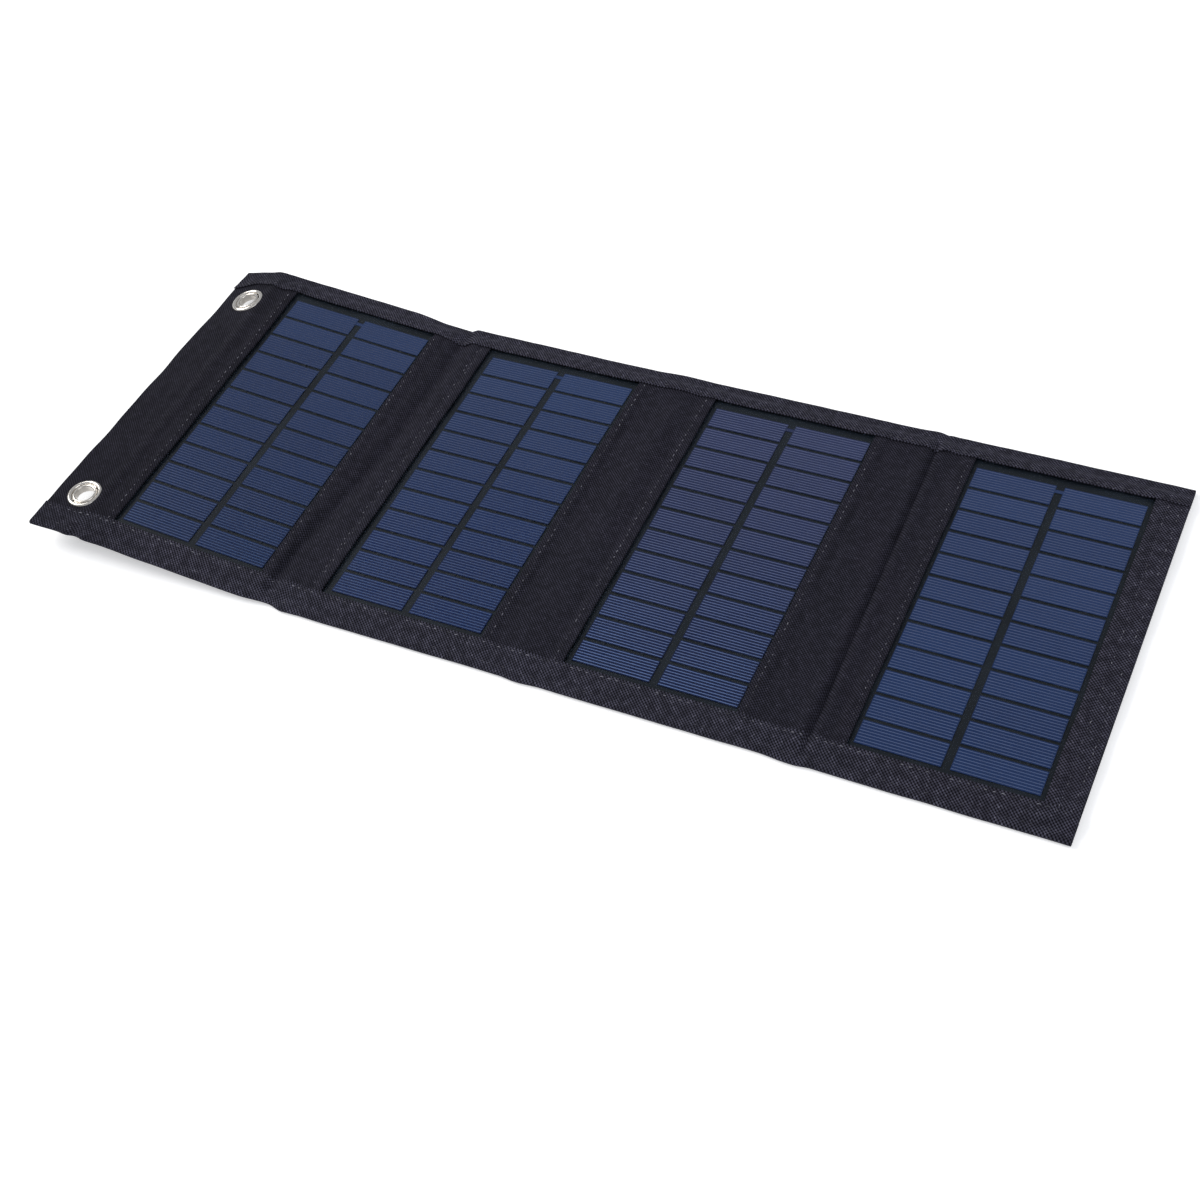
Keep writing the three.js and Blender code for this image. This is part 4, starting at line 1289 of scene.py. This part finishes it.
def sleeve():
    """A pocket sewn to the back cloth: down one side, round the case and up to its sewn flange."""
    inset = CLOTH / 2
    low = -SLEEVE_DEPTH + inset
    corners = [
        (SLEEVE_LEFT + inset, SLEEVE_TOP - 0.02, 0.4),
        (SLEEVE_LEFT + inset, low, SLEEVE_CORNER),
        (SLEEVE_RIGHT - inset, low, SLEEVE_CORNER),
        (SLEEVE_RIGHT - inset, SLEEVE_TOP - inset, 0.8),
        (SLEEVE_RIGHT + SLEEVE_FLANGE, SLEEVE_TOP - inset, 0.0),
    ]
    path = rounded_path(corners, SLEEVE_STEP)
    ys = np.linspace(-SLEEVE_HALF_LENGTH, SLEEVE_HALF_LENGTH, SLEEVE_ROWS)
    x, y, z = np.broadcast_arrays(path[:, :1], ys, path[:, 1:])
    along = np.concatenate([[0], np.cumsum(np.linalg.norm(np.diff(path, axis=0), axis=1))])[:, None]
    middle = stacked(x, y, z)
    thickness = np.minimum(rounded(along[-1] - along, CLOTH), rounded(SLEEVE_HALF_LENGTH - np.abs(y), CLOTH))
    thickness = np.maximum(thickness, THINNEST_EDGE)
    sheet_xy = stacked(along, y)
    return thick_sheet("controller_pocket", middle, thickness, sheet_xy), float(along[-1, 0])


def rounded_path(corners, step):
    """A line through [x, z, radius] corners with each corner rounded off."""
    points = [np.array(corners[0][:2])]
    for (x0, z0, _), (x1, z1, radius), (x2, z2, _) in zip(corners, corners[1:], corners[2:]):
        corner = np.array([x1, z1])
        back = np.array([x0, z0]) - corner
        onward = np.array([x2, z2]) - corner
        back /= np.linalg.norm(back)
        onward /= np.linalg.norm(onward)
        start, end = corner + back * radius, corner + onward * radius
        for t in np.linspace(0, 1, 7):
            points.append((1 - t) ** 2 * start + 2 * t * (1 - t) * corner + t ** 2 * end)
    points.append(np.array(corners[-1][:2]))
    dense = [points[0]]
    for a, b in zip(points, points[1:]):
        count = max(1, int(np.linalg.norm(b - a) / step))
        dense += [a + (b - a) * (i + 1) / count for i in range(count)]
    return np.array(dense)


pocket, pocket_cut = sleeve()
wear_look(pocket, CLOTH_LOOK)
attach(pocket, "section_1")
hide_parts("controller_sleeve")


# ---- studio ----

FLOOR_GLOW = 0.4
FLOOR_HALF = 4.0
FLOOR_TILES = 20
FLOOR_Z = -0.0002
WORLD_COLOR = (0.93, 0.95, 1.0, 1.0)
WORLD_LIGHT = 0.55


def make_floor():
    """A white table top that glows a little, so that shadows on it stay faint."""
    marks = np.linspace(-FLOOR_HALF, FLOOR_HALF, FLOOR_TILES + 1)
    points = [(x, y, FLOOR_Z) for x in marks for y in marks]
    faces = grid_faces(len(marks), len(marks), 0, True)
    mesh = bpy.data.meshes.new("Studio_floor")
    mesh.from_pydata(points, [], faces)
    floor = bpy.data.objects.new("Studio_floor", mesh)
    bpy.context.scene.collection.objects.link(floor)
    look = Look("Pale_floor")
    grain = look.cloud(look.place_map(), 40.0, 3.0, 0.3, 0.7)
    look.set(Base_Color=look.mix(grain, (0.88, 0.88, 0.88, 1), (0.91, 0.91, 0.91, 1)), Roughness=0.9)
    look.set(Emission_Color=(1.0, 1.0, 1.0, 1.0), Emission_Strength=FLOOR_GLOW)
    see_through = look.node("ShaderNodeBsdfTransparent").outputs[0]
    behind = look.node("ShaderNodeNewGeometry").outputs["Backfacing"]
    both = look.node("ShaderNodeMixShader", _0=behind, _1=look.shader.outputs[0], _2=see_through)
    look.tree.links.new(both.outputs[0], look.output.inputs[0])
    mesh.materials.append(look.material)


def make_world():
    """Even, slightly cool light from all round."""
    world = bpy.data.worlds.new("Studio")
    world.use_nodes = True
    background = world.node_tree.nodes["Background"]
    background.inputs[0].default_value = WORLD_COLOR
    background.inputs[1].default_value = WORLD_LIGHT
    bpy.context.scene.world = world


def softbox(name, location, width, height, watts, color):
    """A rectangular light aimed at the mat's middle."""
    data = bpy.data.lights.new(name, "AREA")
    data.shape = "RECTANGLE"
    data.size = width
    data.size_y = height
    data.energy = watts
    data.color = color
    lamp = bpy.data.objects.new(name, data)
    lamp.location = location
    lamp.rotation_euler = (-Vector(location)).to_track_quat("-Z", "Y").to_euler()
    bpy.context.scene.collection.objects.link(lamp)


CAMERA_PLACE = (0.2816, -0.4345, 0.5418)
CAMERA_AZIMUTH = 33.33
CAMERA_ELEVATION = 48.83
CAMERA_ROLL = -10.95
CAMERA_LENS = 55.8


def make_camera():
    """The photograph's point of view, solved from the panels' corners."""
    data = bpy.data.cameras.new("Studio_camera")
    data.lens = CAMERA_LENS
    data.sensor_width = 36.0
    data.clip_start = 0.01
    camera = bpy.data.objects.new("Studio_camera", data)
    around = Matrix.Rotation(math.radians(CAMERA_AZIMUTH), 4, "Z")
    down = Matrix.Rotation(math.radians(90.0 - CAMERA_ELEVATION), 4, "X")
    roll = Matrix.Rotation(math.radians(CAMERA_ROLL), 4, "Z")
    camera.matrix_world = Matrix.Translation(CAMERA_PLACE) @ around @ down @ roll
    bpy.context.scene.collection.objects.link(camera)
    bpy.context.scene.camera = camera


make_floor()
make_world()
softbox("Key_softbox", (-1.3, 0.05, 1.15), width=1.0, height=0.9, watts=16.0, color=(1.0, 0.99, 0.97))
softbox("Fill_softbox", (1.1, -0.35, 0.9), width=1.0, height=0.8, watts=4.0, color=(0.95, 0.97, 1.0))
make_camera()
bpy.context.scene.view_settings.view_transform = "Standard"
